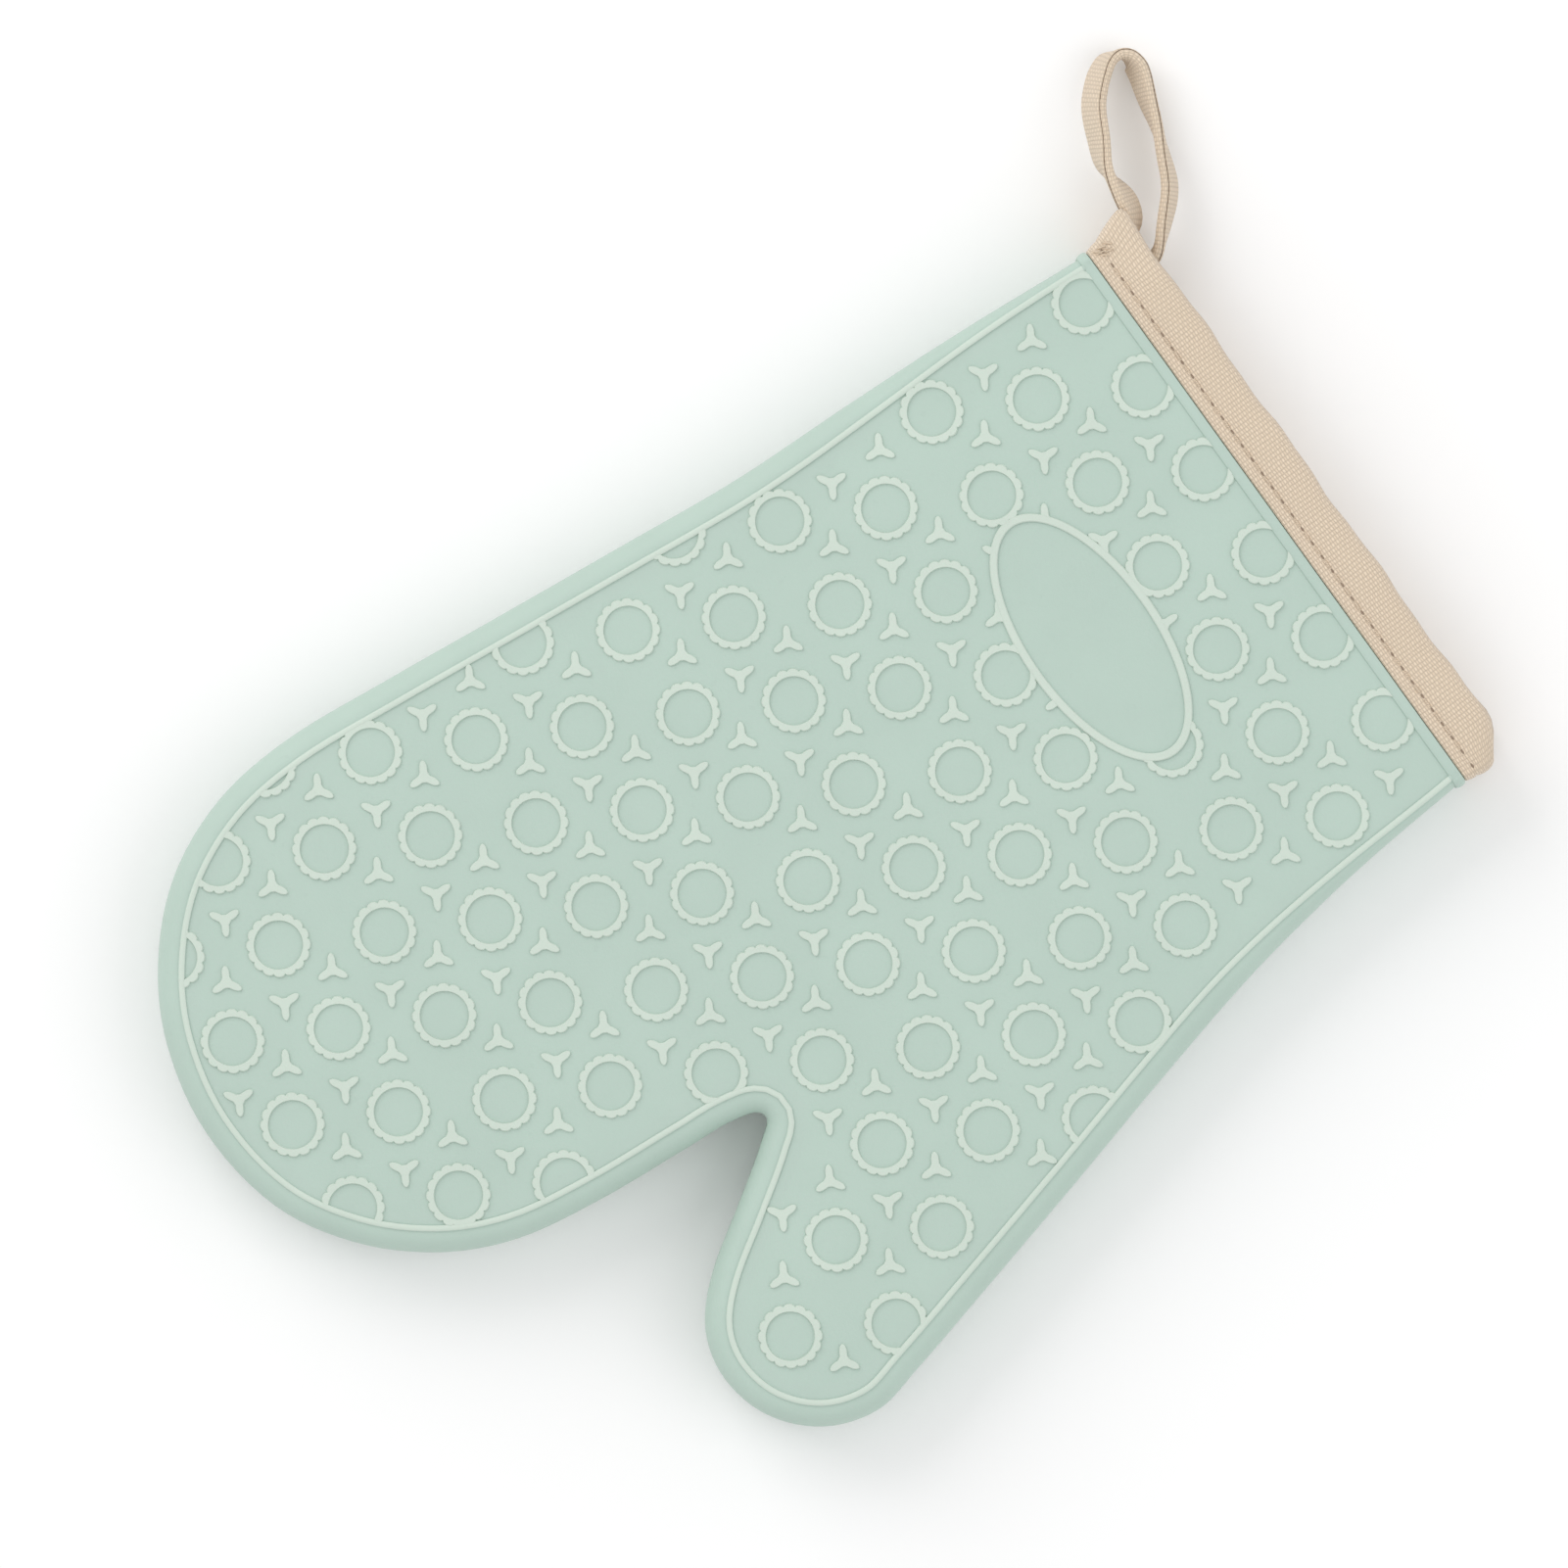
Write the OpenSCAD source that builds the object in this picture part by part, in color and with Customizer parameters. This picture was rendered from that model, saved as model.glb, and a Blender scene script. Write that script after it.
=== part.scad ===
// Oven mitt: one-piece silicone outer with a quilted bag lining, a bound cuff and a hanging loop.
// The mitt lies flat. +X runs from the cuff to the fingertips, +Y to the thumb, +Z up.

/* [Mitt] */
// Width of the silicone at the cuff
cuff_w = 144; // [115:1:175]
// Stretch of the whole outline along the hand
length_scale = 1; // [0.85:0.01:1.2]
// Thickness of the mitt over the raised beads
thickness = 24; // [22:0.5:34]
// Wall of the silicone moulding
wall = 1.8; // [1.2:0.1:2.4]
// Radius of the rolled side, seen in section; the bead starts where it ends
side_r = 4.7; // [4:0.1:6]

/* [Raised lines] */
// Height of the bead, the cuff rib and the oval rim
relief_h = 0.6; // [0.3:0.1:1]
// Width of the bead that follows the outline
bead_w = 1.5; // [1:0.1:2.5]
// Width of the rib beside the binding
rib_w = 2.5; // [1.5:0.1:4]
// Length of the blank oval
oval_l = 64; // [50:1:75]
// Width of the blank oval
oval_w = 31; // [24:1:36]
// Width of the oval's rim
oval_rim = 1.9; // [1:0.1:3]
// Distance from the cuff rib to the oval's centre
oval_x = 46.5; // [40:0.5:60]

/* [Lining] */
// Thickness of each lining cloth
cloth_t = 0.5; // [0.3:0.1:0.8]
// Thickness of the wadding
wadding_t = 2.4; // [1.5:0.1:3]
// Distance between quilting lines
quilt_pitch = 32; // [20:1:60]
// Thickness of every sewing thread
thread_d = 0.4; // [0.3:0.05:0.6]

/* [Binding] */
// Visible width of the binding tape
binding_w = 12.2; // [10:0.1:16]
// Thickness of the folded canvas
canvas_t = 1.2; // [0.8:0.1:1.6]
// Height of the binding over the silicone field
binding_proud = 0.3; // [0.1:0.05:0.5]
// Distance from the stitch row to the tape's inner edge
stitch_inset = 3; // [2:0.1:5]
// Distance between stitches
stitch_pitch = 3.8; // [3:0.1:6]

/* [Loop] */
// Width of the folded loop tape
tape_w = 7.5; // [6:0.5:10]
// Thickness of the folded loop tape
tape_t = 2.4; // [1.5:0.1:3]
// Lean of the tape away from standing on edge
tape_lean = 24; // [0:1:45]
// Angle by which the loop droops to the surface
loop_droop = 22; // [5:0.5:22]
// Clearance between the loop's root and the binding at any angle
root_gap = 0.4; // [0.3:0.1:1]

/* [Hidden] */
$fn = 48;

eps = 0.01;
skin = 0.05;                         // step that keeps joined faces from lying in one plane
mint = [0.75, 0.84, 0.79];
canvas = [0.88, 0.80, 0.70];
cotton = [0.93, 0.90, 0.84];
brown = [0.36, 0.27, 0.18];

// ---- heights
z_mid = thickness / 2;
field_z = thickness - relief_h;      // top of the silicone between the raised lines
ply_gap = 0.1;                       // clearance between plies that touch
backing_z = field_z - wall - ply_gap;
wadding_z = backing_z - cloth_t;
facing_z = wadding_z - wadding_t;
cavity_z = facing_z - cloth_t;

// ---- lengths along X, where 0 is the silicone's visible cuff end
rib_x0 = -rib_w;
bind_x1 = rib_x0 - ply_gap;
bind_x0 = bind_x1 - binding_w;
lining_x0 = bind_x0 + canvas_t + ply_gap;
flange_x0 = bind_x0 + binding_w / 2;
stitch_x = bind_x1 - stitch_inset;

// ---- outline of the silicone, from the cuff's far corner round the fingers to the thumb side
half_cuff = cuff_w / 2;
drawn_half = 72;                     // half the cuff width at which the outline was drawn
cuff_blend = 80;                     // the side roll grows to its full width over this length
cuff_roll = 0.4;                     // share of the roll's width that is left at the cuff
shell_x0 = rib_x0 + 0.5;             // the plates and sides start inside the rib
corner_pts = [
    [shell_x0, -drawn_half], [0, -drawn_half], [30, -74.3], [60, -75.7], [90, -76.7], [120, -79.7],
    [150, -82.8], [180, -86], [205, -88.1], [225, -86], [243, -78], [257, -64.5], [266, -48.5],
    [270.3, -28], [267.5, -6], [258, 11], [244, 24], [228, 31.8], [208, 35.5], [185, 37.5],
    [173, 38.6], [167.3, 41.5], [171, 45.8], [183, 54], [198, 64], [206, 73], [208.7, 84],
    [205.7, 96], [197, 105.5], [185, 109.5], [173, 107.3], [150, 101.7], [120, 94.2], [90, 86.4],
    [60, 79.3], [30, 74.6], [0, drawn_half],
    [shell_x0, drawn_half]];
steps = 3;                           // points on each curved span

function unit2(v) = v / norm(v);
function stretched(p) = [p.x > 0 ? p.x * length_scale : p.x, p.y * half_cuff / drawn_half];
knots = [for (p = corner_pts) stretched(p)];
last = len(knots) - 1;
function heading(i) = i == 0 || i == last ? [i == 0 ? 1 : -1, 0]
                    : unit2(knots[i + 1] - knots[i - 1]);
// Cubic between two knots, with the knots' headings as its end slopes
function span_pt(i, t) =
    let (a = knots[i], b = knots[i + 1], l = norm(b - a))
    a * (1 - t) * (1 - t) * (1 + 2 * t) + b * t * t * (3 - 2 * t)
    + heading(i) * l * t * (1 - t) * (1 - t) - heading(i + 1) * l * t * t * (1 - t);
outline = concat([for (i = [0 : last - 1]) for (s = [0 : steps - 1]) span_pt(i, s / steps)],
                 [knots[last]]);
n_out = len(outline);
function outline_dir(i) = i == 0 ? [1, 0] : i == n_out - 1 ? [-1, 0]
                        : unit2(outline[i + 1] - outline[i - 1]);
normals = [for (i = [0 : n_out - 1]) let (d = outline_dir(i)) [-d.y, d.x]];
function smooth01(t) = let (c = min(max(t, 0), 1)) c * c * (3 - 2 * c);
function roll_share(x) = cuff_roll + (1 - cuff_roll) * smooth01(x / cuff_blend);
// Outline moved inwards by a fixed distance and by a distance that follows the side roll
function inset_line(fixed, rolled = 0) =
    [for (i = [0 : n_out - 1])
        outline[i] + normals[i] * (fixed + rolled * roll_share(outline[i].x))];
// Closed plan shape of that line, carried straight out to x0 at the cuff
function plan(fixed, rolled = 0, x0 = shell_x0) =
    let (p = inset_line(fixed, rolled))
    x0 == shell_x0 ? p : concat([[x0, p[0].y]], p, [[x0, p[n_out - 1].y]]);

// ---- side band: rounded C section as [fixed inset, rolled inset, z], outside then inside
arc_steps = 3;
inner_r = side_r - wall;
bead_end = side_r + bead_w;
flange_in = bead_end + 0.8;
function roll_out(a) = [0, side_r * (1 - cos(a)), side_r * (1 - sin(a)) + relief_h];
function roll_in(a) = [wall, inner_r * (1 - cos(a)), wall + inner_r * (1 - sin(a)) + relief_h];
function flip_z(p) = [p.x, p.y, thickness - p.z];
function reversed(l) = [for (i = [len(l) - 1 : -1 : 0]) l[i]];
quarter = [for (i = [0 : arc_steps]) 90 * i / arc_steps];
// Lower half of each side, from the flange's free edge outwards and up; the bead stands on z = 0
lower_out = concat([[wall, flange_in, relief_h], [0, bead_end, relief_h], [0, bead_end, 0],
                    [0, side_r, 0]], reversed([for (a = quarter) roll_out(a)]));
lower_in = concat([for (q = [0, 0.2, 0.4, 0.6]) [wall, flange_in - q * bead_w, relief_h + wall]],
                  reversed([for (a = quarter) roll_in(a)]));
function both_halves(l) = concat(l, reversed([for (p = l) flip_z(p)]));
band_section = concat(both_halves(lower_out), reversed(both_halves(lower_in)));
n_sec = len(band_section);

module side_band() {
    pts = [for (i = [0 : n_out - 1]) for (s = band_section)
        let (q = outline[i] + normals[i] * (s.x + s.y * roll_share(outline[i].x))) [q.x, q.y, s.z]];
    walls = [for (i = [0 : n_out - 2]) for (j = [0 : n_sec - 1])
        let (a = i * n_sec + j, b = i * n_sec + (j + 1) % n_sec)
        for (t = [[a, b, b + n_sec], [a, b + n_sec, a + n_sec]]) t];
    // Each end is closed by strips between the outside and the inside of the C
    half = n_sec / 2;
    strips = [for (j = [0 : half - 2])
        let (a = j, b = j + 1, c = n_sec - 2 - j, d = n_sec - 1 - j)
        for (t = [[a, d, c], [a, c, b]]) t];
    end0 = (n_out - 1) * n_sec;
    ends = concat(strips, [for (t = strips) [t[2] + end0, t[1] + end0, t[0] + end0]]);
    polyhedron(points = pts, faces = concat(walls, ends));
}

// ---- cross-section of the mouth, in Y and Z, at a depth under the silicone's surface
mouth_steps = 4;
function mouth(side, top) =
    let (hw = half_cuff - side, hz = z_mid - relief_h - top,
         rx = max(0.9 * side_r * cuff_roll - side, 0.6), rz = max(side_r - top, 0.6))
    [for (q = [[1, 1, 0], [-1, 1, 90], [-1, -1, 180], [1, -1, 270]]) for (k = [0 : mouth_steps])
        let (a = q.z + 90 * k / mouth_steps)
        [q.x * (hw - rx) + rx * cos(a), q.y * (hz - rz) + rz * sin(a)]];
// Prism of a Y-Z shape between two X positions
module along_x(x0, x1) {
    translate([x0, 0, z_mid]) rotate([90, 0, 90]) linear_extrude(x1 - x0) children();
}
module mouth_ring(x0, x1, side0, top0, side1, top1) {
    along_x(x0, x1) difference() {
        polygon(mouth(side0, top0));
        polygon(mouth(side1, top1));
    }
}

// ---- loop: route in the mitt's plane as [X, Y], from one sewn end to the other
root_h = 1;                          // half height of the pinched tape at its root
axis_x = bind_x0 - root_gap - root_h - 0.2;
// Distance out from the swing axis, and Y; the sewn ends stay at the cuff's corner
drawn_route = [
    [0.4, -75], [0.6, -80], [1, -85], [2.7, -90], [5.7, -95], [9.8, -100], [13.5, -103.3],
    [17, -104.6], [20.1, -103.2], [21.4, -100.2], [21.1, -96.5], [20.1, -92], [18.5, -87.5],
    [16.6, -83], [13.7, -78], [10.2, -73], [7.2, -69.2], [3.9, -66], [0.4, -62.8]];
loop_route = [for (p = drawn_route) [p.x, p.y + drawn_half - half_cuff]];
n_loop = len(loop_route);
// A thicker mitt lets the loop droop further before its edge meets the surface, a wider tape less
drawn_thickness = 24;
drawn_tape_w = 7.5;
loop_reach = max([for (p = loop_route) p.x]);
droop = loop_droop + asin((thickness - drawn_thickness - tape_w + drawn_tape_w) / 2 / loop_reach);
max_h = tape_w / 2;
// Length of the route from its nearer sewn end to point i
function route_len(i, to, step) = i == to ? 0
    : norm(loop_route[i] - loop_route[i + step]) + route_len(i + step, to, step);
function tape_h(i) =
    min(max_h, root_h + 0.45 * min(route_len(i, 0, -1), route_len(i, n_loop - 1, 1)));
function loop_side(i) = unit2(i == 0 ? loop_route[1] - loop_route[0]
    : i == n_loop - 1 ? loop_route[i] - loop_route[i - 1] : loop_route[i + 1] - loop_route[i - 1]);
// One ring of the tape: offsets across and up, leaning by tape_lean, then drooped about the axis
function tape_ring(i, half_t, h0, h1) =
    let (p = loop_route[i], d = loop_side(i), n = [d.y, -d.x], h = tape_h(i), k = h / max_h,
         lean = tape_lean * smooth01((h - root_h) / (max_h - root_h)))
    [for (c = [[-1, h0], [1, h0], [1, h1], [-1, h1]])
        let (across = c[0] * half_t * cos(lean) + c[1] * k * sin(lean),
             up = c[1] * k * cos(lean) - c[0] * half_t * sin(lean),
             s = p.x + n.x * across, y = p.y + n.y * across)
        [axis_x - s * cos(droop) - up * sin(droop), y,
         z_mid - s * sin(droop) + up * cos(droop)]];
function loop_rings(half_t, h0, h1) = [for (i = [0 : n_loop - 1]) tape_ring(i, half_t, h0, h1)];
module tape_sweep(rings) {
    n = len(rings);
    pts = [for (r = rings) for (p = r) p];
    walls = [for (i = [0 : n - 2]) for (j = [0 : 3])
        let (a = i * 4 + j, b = i * 4 + (j + 1) % 4)
        for (t = [[a, b + 4, b], [a, a + 4, b + 4]]) t];
    polyhedron(points = pts, faces = concat(walls, [[0, 1, 2], [0, 2, 3]],
        [[n * 4 - 1, n * 4 - 2, n * 4 - 3], [n * 4 - 1, n * 4 - 3, n * 4 - 4]]));
}
loop_pts = [for (r = loop_rings(tape_t / 2, -max_h, max_h)) for (p = r) p];

// ---- origin: bottom centre of everything
x_all = concat([for (p = outline) p.x], [for (p = loop_pts) p.x]);
y_all = concat([for (p = outline) p.y], [for (p = loop_pts) p.y]);
origin = [(min(x_all) + max(x_all)) / 2, (min(y_all) + max(y_all)) / 2, 0];
module placed() {
    translate(-origin) children();
}

// ---- pieces
oval_y = -2.2;
// Built as one mesh: resize() with zeros keeps every size and joins the shapes into a single skin
module silicone_shell() {
    color(mint) placed() resize([0, 0, 0]) {
        side_band();
        for (z = [relief_h, field_z - wall]) translate([0, 0, z + skin])
            linear_extrude(wall - 2 * skin) polygon(plan(wall, flange_in - 0.6));
        // rib round the cuff end, and the thin flange that is sewn into the binding
        mouth_ring(rib_x0, 0, -relief_h * cuff_roll, skin - relief_h, wall / 2, wall / 2);
        mouth_ring(flange_x0, shell_x0 + 1, canvas_t, canvas_t, wall - 2 * skin, wall - 2 * skin);
        oval_rim();
    }
}
module oval_rim() {
    translate([oval_x, oval_y, field_z - 0.2]) linear_extrude(relief_h + 0.2) difference() {
        scale([oval_w / oval_l, 1]) circle(d = oval_l);
        scale([(oval_w - 2 * oval_rim) / (oval_l - 2 * oval_rim), 1])
            circle(d = oval_l - 2 * oval_rim);
    }
}

// One ply of the lining bag: a tray whose open side is at the middle of the mitt
lining_side = side_r + ply_gap;
module tray(inset, t, z_out) {
    placed() difference() {
        translate([0, 0, z_mid]) linear_extrude(z_out - z_mid) polygon(plan(inset, 0, lining_x0));
        translate([0, 0, z_mid - eps]) linear_extrude(z_out - t - z_mid + eps)
            polygon(plan(inset + t, 0, lining_x0 - 1));
    }
}
module back_side() {
    translate([0, 0, thickness]) mirror([0, 0, 1]) children();
}
module backing() { tray(lining_side, cloth_t, backing_z); }
module wadding() { tray(lining_side + cloth_t, wadding_t, wadding_z); }
module facing() { tray(lining_side + cloth_t + wadding_t, cloth_t, facing_z); }
lining_depth = lining_side + 2 * cloth_t + wadding_t;

// Rows of quilting thread on the hand side of a lining panel
quilt_x0 = bind_x1 + quilt_pitch / 2;
module quilting() {
    placed() intersection() {
        translate([0, 0, cavity_z - thread_d]) linear_extrude(thread_d)
            polygon(plan(lining_depth + ply_gap, 0, bind_x1));
        for (x = [quilt_x0 : quilt_pitch : max(x_all)])
            translate([x - thread_d / 2, min(y_all), cavity_z - 1])
                cube([thread_d, max(y_all) - min(y_all), 2]);
    }
}
module front_lining_backing() { color(cotton) backing(); }
module front_lining_wadding() { color("white") wadding(); }
module front_lining_facing() { color(cotton) facing(); }
module back_lining_backing() { color(cotton) back_side() backing(); }
module back_lining_wadding() { color("white") back_side() wadding(); }
module back_lining_facing() { color(cotton) back_side() facing(); }
module front_quilting_thread() { color("white") quilting(); }
module back_quilting_thread() { color("white") back_side() quilting(); }

module lining_seam_thread() {
    color("white") placed() translate([0, 0, z_mid - thread_d]) linear_extrude(2 * thread_d)
        difference() {
            polygon(plan(lining_side - thread_d));
            polygon(plan(lining_side, 0, shell_x0 - 1));
        }
}

// Folded tape over the edge of the shell's flange and the lining
inner_leaf_top = field_z - cavity_z + ply_gap;
module cuff_binding() {
    inner_leaf_side = lining_depth + ply_gap;
    color(canvas) placed() {
        mouth_ring(bind_x0, bind_x1, -binding_proud, -binding_proud,
                   canvas_t - ply_gap, canvas_t - ply_gap);
        mouth_ring(bind_x0, bind_x1, inner_leaf_side, inner_leaf_top,
                   inner_leaf_side + canvas_t, inner_leaf_top + canvas_t);
        mouth_ring(bind_x0, bind_x0 + canvas_t, 0, 0,
                   inner_leaf_side + canvas_t, inner_leaf_top + canvas_t);
    }
}

// Stitches that show on both sides of the cuff, lying on the tape
stitch_l = stitch_pitch * 0.7;
n_stitch = floor((cuff_w - 4 * side_r) / stitch_pitch / 2);
binding_top = field_z + binding_proud;
module binding_stitching() {
    color(brown) placed() for (k = [-n_stitch : n_stitch])
        translate([stitch_x - thread_d / 2, k * stitch_pitch - stitch_l / 2, 0])
            for (z = [binding_top, thickness - binding_top - relief_h / 4])
                translate([0, 0, z]) cube([thread_d, stitch_l, relief_h / 4]);
}

// Short dense stitches that fasten the loop's end inside the corner
module loop_bartack() {
    bartack_y = -half_cuff + 4;
    color(brown) placed() for (k = [0 : 4])
        translate([bind_x0 + 2 + k * 1.2, bartack_y, binding_top])
            cube([thread_d, stitch_l, relief_h / 4]);
}

module hanging_loop() {
    color(canvas) placed() tape_sweep(loop_rings(tape_t / 2, -max_h, max_h));
}
module loop_stitching() {
    color(brown) placed() for (i = [1 : n_loop - 3]) {
        r = [for (q = [i, i + 1]) tape_ring(q, thread_d / 2, max_h + 0.02, max_h + 0.3)];
        tape_sweep(r);
    }
}

silicone_shell();
front_lining_backing();
front_lining_wadding();
front_lining_facing();
back_lining_backing();
back_lining_wadding();
back_lining_facing();
lining_seam_thread();
front_quilting_thread();
back_quilting_thread();
cuff_binding();
binding_stitching();
loop_bartack();
hanging_loop();
loop_stitching();
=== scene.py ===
import math

import bpy
import numpy as np
from bpy.props import FloatProperty, FloatVectorProperty, PointerProperty
from mathutils import Matrix, Vector


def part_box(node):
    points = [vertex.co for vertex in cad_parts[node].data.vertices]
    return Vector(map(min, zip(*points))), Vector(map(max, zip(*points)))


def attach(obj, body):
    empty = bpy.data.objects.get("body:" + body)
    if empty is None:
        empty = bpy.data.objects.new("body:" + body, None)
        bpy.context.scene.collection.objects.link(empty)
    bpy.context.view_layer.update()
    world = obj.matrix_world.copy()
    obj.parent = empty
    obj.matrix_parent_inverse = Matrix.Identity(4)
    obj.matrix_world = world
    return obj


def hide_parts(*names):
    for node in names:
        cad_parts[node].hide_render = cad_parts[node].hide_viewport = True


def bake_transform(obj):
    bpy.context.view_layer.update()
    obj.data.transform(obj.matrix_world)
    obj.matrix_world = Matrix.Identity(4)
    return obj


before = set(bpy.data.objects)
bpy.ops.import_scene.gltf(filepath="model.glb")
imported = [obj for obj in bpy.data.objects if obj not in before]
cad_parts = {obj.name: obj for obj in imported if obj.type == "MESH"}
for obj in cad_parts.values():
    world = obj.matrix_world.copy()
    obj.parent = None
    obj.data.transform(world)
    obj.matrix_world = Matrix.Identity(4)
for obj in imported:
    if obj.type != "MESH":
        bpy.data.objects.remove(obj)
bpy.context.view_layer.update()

bl_info = {
    "name": "Oven Mitt",
    "version": (1, 0, 0),
    "blender": (4, 5, 0),
    "location": "3D View > Sidebar > Oven Mitt",
    "description": "Silicone oven mitt with a grip pattern, quilted lining, bound cuff and loop",
    "category": "Add Mesh",
}

MM = 0.001

# ---------------------------------------------------------------- sizes, in millimetres
# Hand frame: X from the cuff rib to the fingertips, Y to the thumb, Z up from the surface
FINGERTIP_X = 270.3
THUMB_Y = 109.5
HALF_CUFF = 72.0
SHELL_X0 = -2.0
CUFF_BLEND = 80.0        # the side's roll grows over this length from the cuff
CUFF_ROLL = 0.32         # the roll at the cuff, as a share of the full one
SIDE_R = 4.7
WALL = 1.8
RELIEF_H = 0.6
BEAD_W = 1.5
KNOTS = [
    (SHELL_X0, -HALF_CUFF), (0, -HALF_CUFF), (30, -74.3), (60, -75.7), (90, -76.7), (120, -79.7),
    (150, -82.8), (180, -86), (205, -88.1), (225, -86), (243, -78), (257, -64.5), (266, -48.5),
    (FINGERTIP_X, -28), (267.5, -6), (258, 11), (244, 24), (228, 31.8), (208, 35.5), (185, 37.5),
    (173, 38.6), (167.3, 41.5), (171, 45.8), (183, 54), (198, 64), (206, 73), (208.7, 84),
    (205.7, 96), (197, 105.5), (185, THUMB_Y), (173, 107.3), (150, 101.7), (120, 94.2), (90, 86.4),
    (60, 79.3), (30, 74.6), (0, HALF_CUFF), (SHELL_X0, HALF_CUFF)]

SHELL_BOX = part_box("silicone_shell")
THICK = SHELL_BOX[1].z / MM
Z_MID = THICK / 2
FIELD_Z = THICK - RELIEF_H
ORIGIN = np.array([FINGERTIP_X - SHELL_BOX[1].x / MM, THUMB_Y - SHELL_BOX[1].y / MM, 0.0])

RIB_X0 = -2.5
RIB_FACE_X = 0.0         # the raised lines' paler colour, painted light on the high spots, starts here, past the rib
BIND_X1 = -2.6
BIND_X0 = -14.8
STITCH_X = -5.6
STITCH_PITCH = 3.8

CLOTH_T = 0.5
WADDING_T = 2.4
PLY_GAP = 0.1
QUILT_PITCH = 32.0
QUILT_X0 = BIND_X1 + QUILT_PITCH / 2
LINING_X0 = -13.5

OVAL_AT = (46.5, -2.2)
OVAL_HALF = (15.5, 32.0)
OVAL_RIM = 1.9
OVAL_POINTS = 96

RING_ROW = 20.75         # spacing of the ring rows along the hand
RING_PITCH = 22.8        # spacing of the rings in a row
RING_AT = (4.5, -63.5)
RING_LOBES = 16
STAR_OFFSET = 6.5        # a star's distance from its row, along the hand
NUB_SHIFT = 0.2          # only the tips of the first row's stars stand clear of the rib


def ring_at(row, j):
    """Centre of a ring: every second row is half a pitch over"""
    return RING_AT[0] + RING_ROW * row, RING_AT[1] + RING_PITCH * (j + 0.5 * (row % 2))


def star_at(row, j, side):
    """Centre of the star in the gap after ring j, towards the cuff (side -1) or the fingers (1)"""
    x, y = ring_at(row, j)
    nub = NUB_SHIFT if (row, side) == (0, -1) else 0
    return x + side * STAR_OFFSET - nub, y + RING_PITCH / 2


# Rings with their centre past the bead are left out of the pattern, apart from these
PAST_BEAD = [ring_at(5, -1), ring_at(10, -1), ring_at(12, 0)]
# The star beside the thumb's crotch that the pattern doesn't have
LEFT_OUT = [star_at(9, 3, -1)]

# Seam along the loop's upper edge: X, Y, height, and lean in degrees that shows the outer face
LOOP_SEAM = [
    (-8, -70.5, 12.6, 0), (-11, -71.8, 13, -12), (-13.6, -73.9, 13.8, -24),
    (-14.3, -77.6, 14.5, -27), (-15.5, -81.6, 14.6, -12), (-17.6, -86.3, 14.2, 14),
    (-20.6, -91.2, 13.4, 26),
    (-23.9, -96.4, 12.2, 30), (-26.4, -99.7, 11.2, 30), (-29.2, -102.5, 10.2, 28),
    (-32.3, -104.5, 9.2, 18), (-35.6, -104.9, 8.3, -6), (-38, -103.1, 7.9, -20),
    (-38.8, -100, 7.8, -27), (-38.4, -97.1, 7.9, -27), (-36.7, -92.6, 8.4, -20),
    (-33.8, -86.6, 9.3, -7), (-30.5, -80.2, 10.5, 8), (-27.2, -74.6, 11.7, 15),
    (-23.5, -69.6, 12.8, 14), (-19.3, -65, 13.6, 5), (-15.6, -61.7, 13.5, -8), (-12, -60.4, 13, -8),
    (-8, -60, 12.6, 0)]


class MittSizes(bpy.types.PropertyGroup):
    """Sizes that change the look and not the fit"""
    ring_height: FloatProperty(name="Ring height", description="Height of a ring over the field",
                               default=0.55 * MM, unit="LENGTH")
    ring_outer: FloatProperty(name="Ring radius", description="Outer radius at a ring's lobes",
                              default=7.2 * MM, unit="LENGTH")
    ring_inner: FloatProperty(name="Ring hole", description="Radius of a ring's plain inside",
                              default=5.35 * MM, unit="LENGTH")
    star_arm: FloatProperty(name="Star arm", description="Length of a star's arm from its middle",
                            default=3.7 * MM, unit="LENGTH")
    crown: FloatProperty(name="Crown", description="Swell of the upper face over its edges",
                         default=0.9 * MM, unit="LENGTH")
    quilt_pinch: FloatProperty(name="Quilt pinch", description="Depth of the lining's channels",
                               default=1.1 * MM, unit="LENGTH")


class MittColours(bpy.types.PropertyGroup):
    """Colours of the mitt's materials"""
    silicone: FloatVectorProperty(name="Silicone", description="Colour of the moulding",
                                  subtype="COLOR", size=4, default=(0.455, 0.575, 0.508, 1))
    # Painted light: the same silicone made paler, for the light that the raised tops catch over the
    # field
    raised: FloatVectorProperty(name="Raised silicone", description="Paler colour of high spots",
                                subtype="COLOR", size=4, default=(0.575, 0.668, 0.59, 1))
    canvas: FloatVectorProperty(name="Canvas", description="Colour of the tape's threads",
                                subtype="COLOR", size=4, default=(0.80, 0.655, 0.50, 1))
    cotton: FloatVectorProperty(name="Lining cotton", description="Colour of the lining cloth",
                                subtype="COLOR", size=4, default=(0.78, 0.74, 0.66, 1))
    thread: FloatVectorProperty(name="Seam thread", description="Colour of the dark loop seam",
                                subtype="COLOR", size=4, default=(0.16, 0.10, 0.06, 1))


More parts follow.
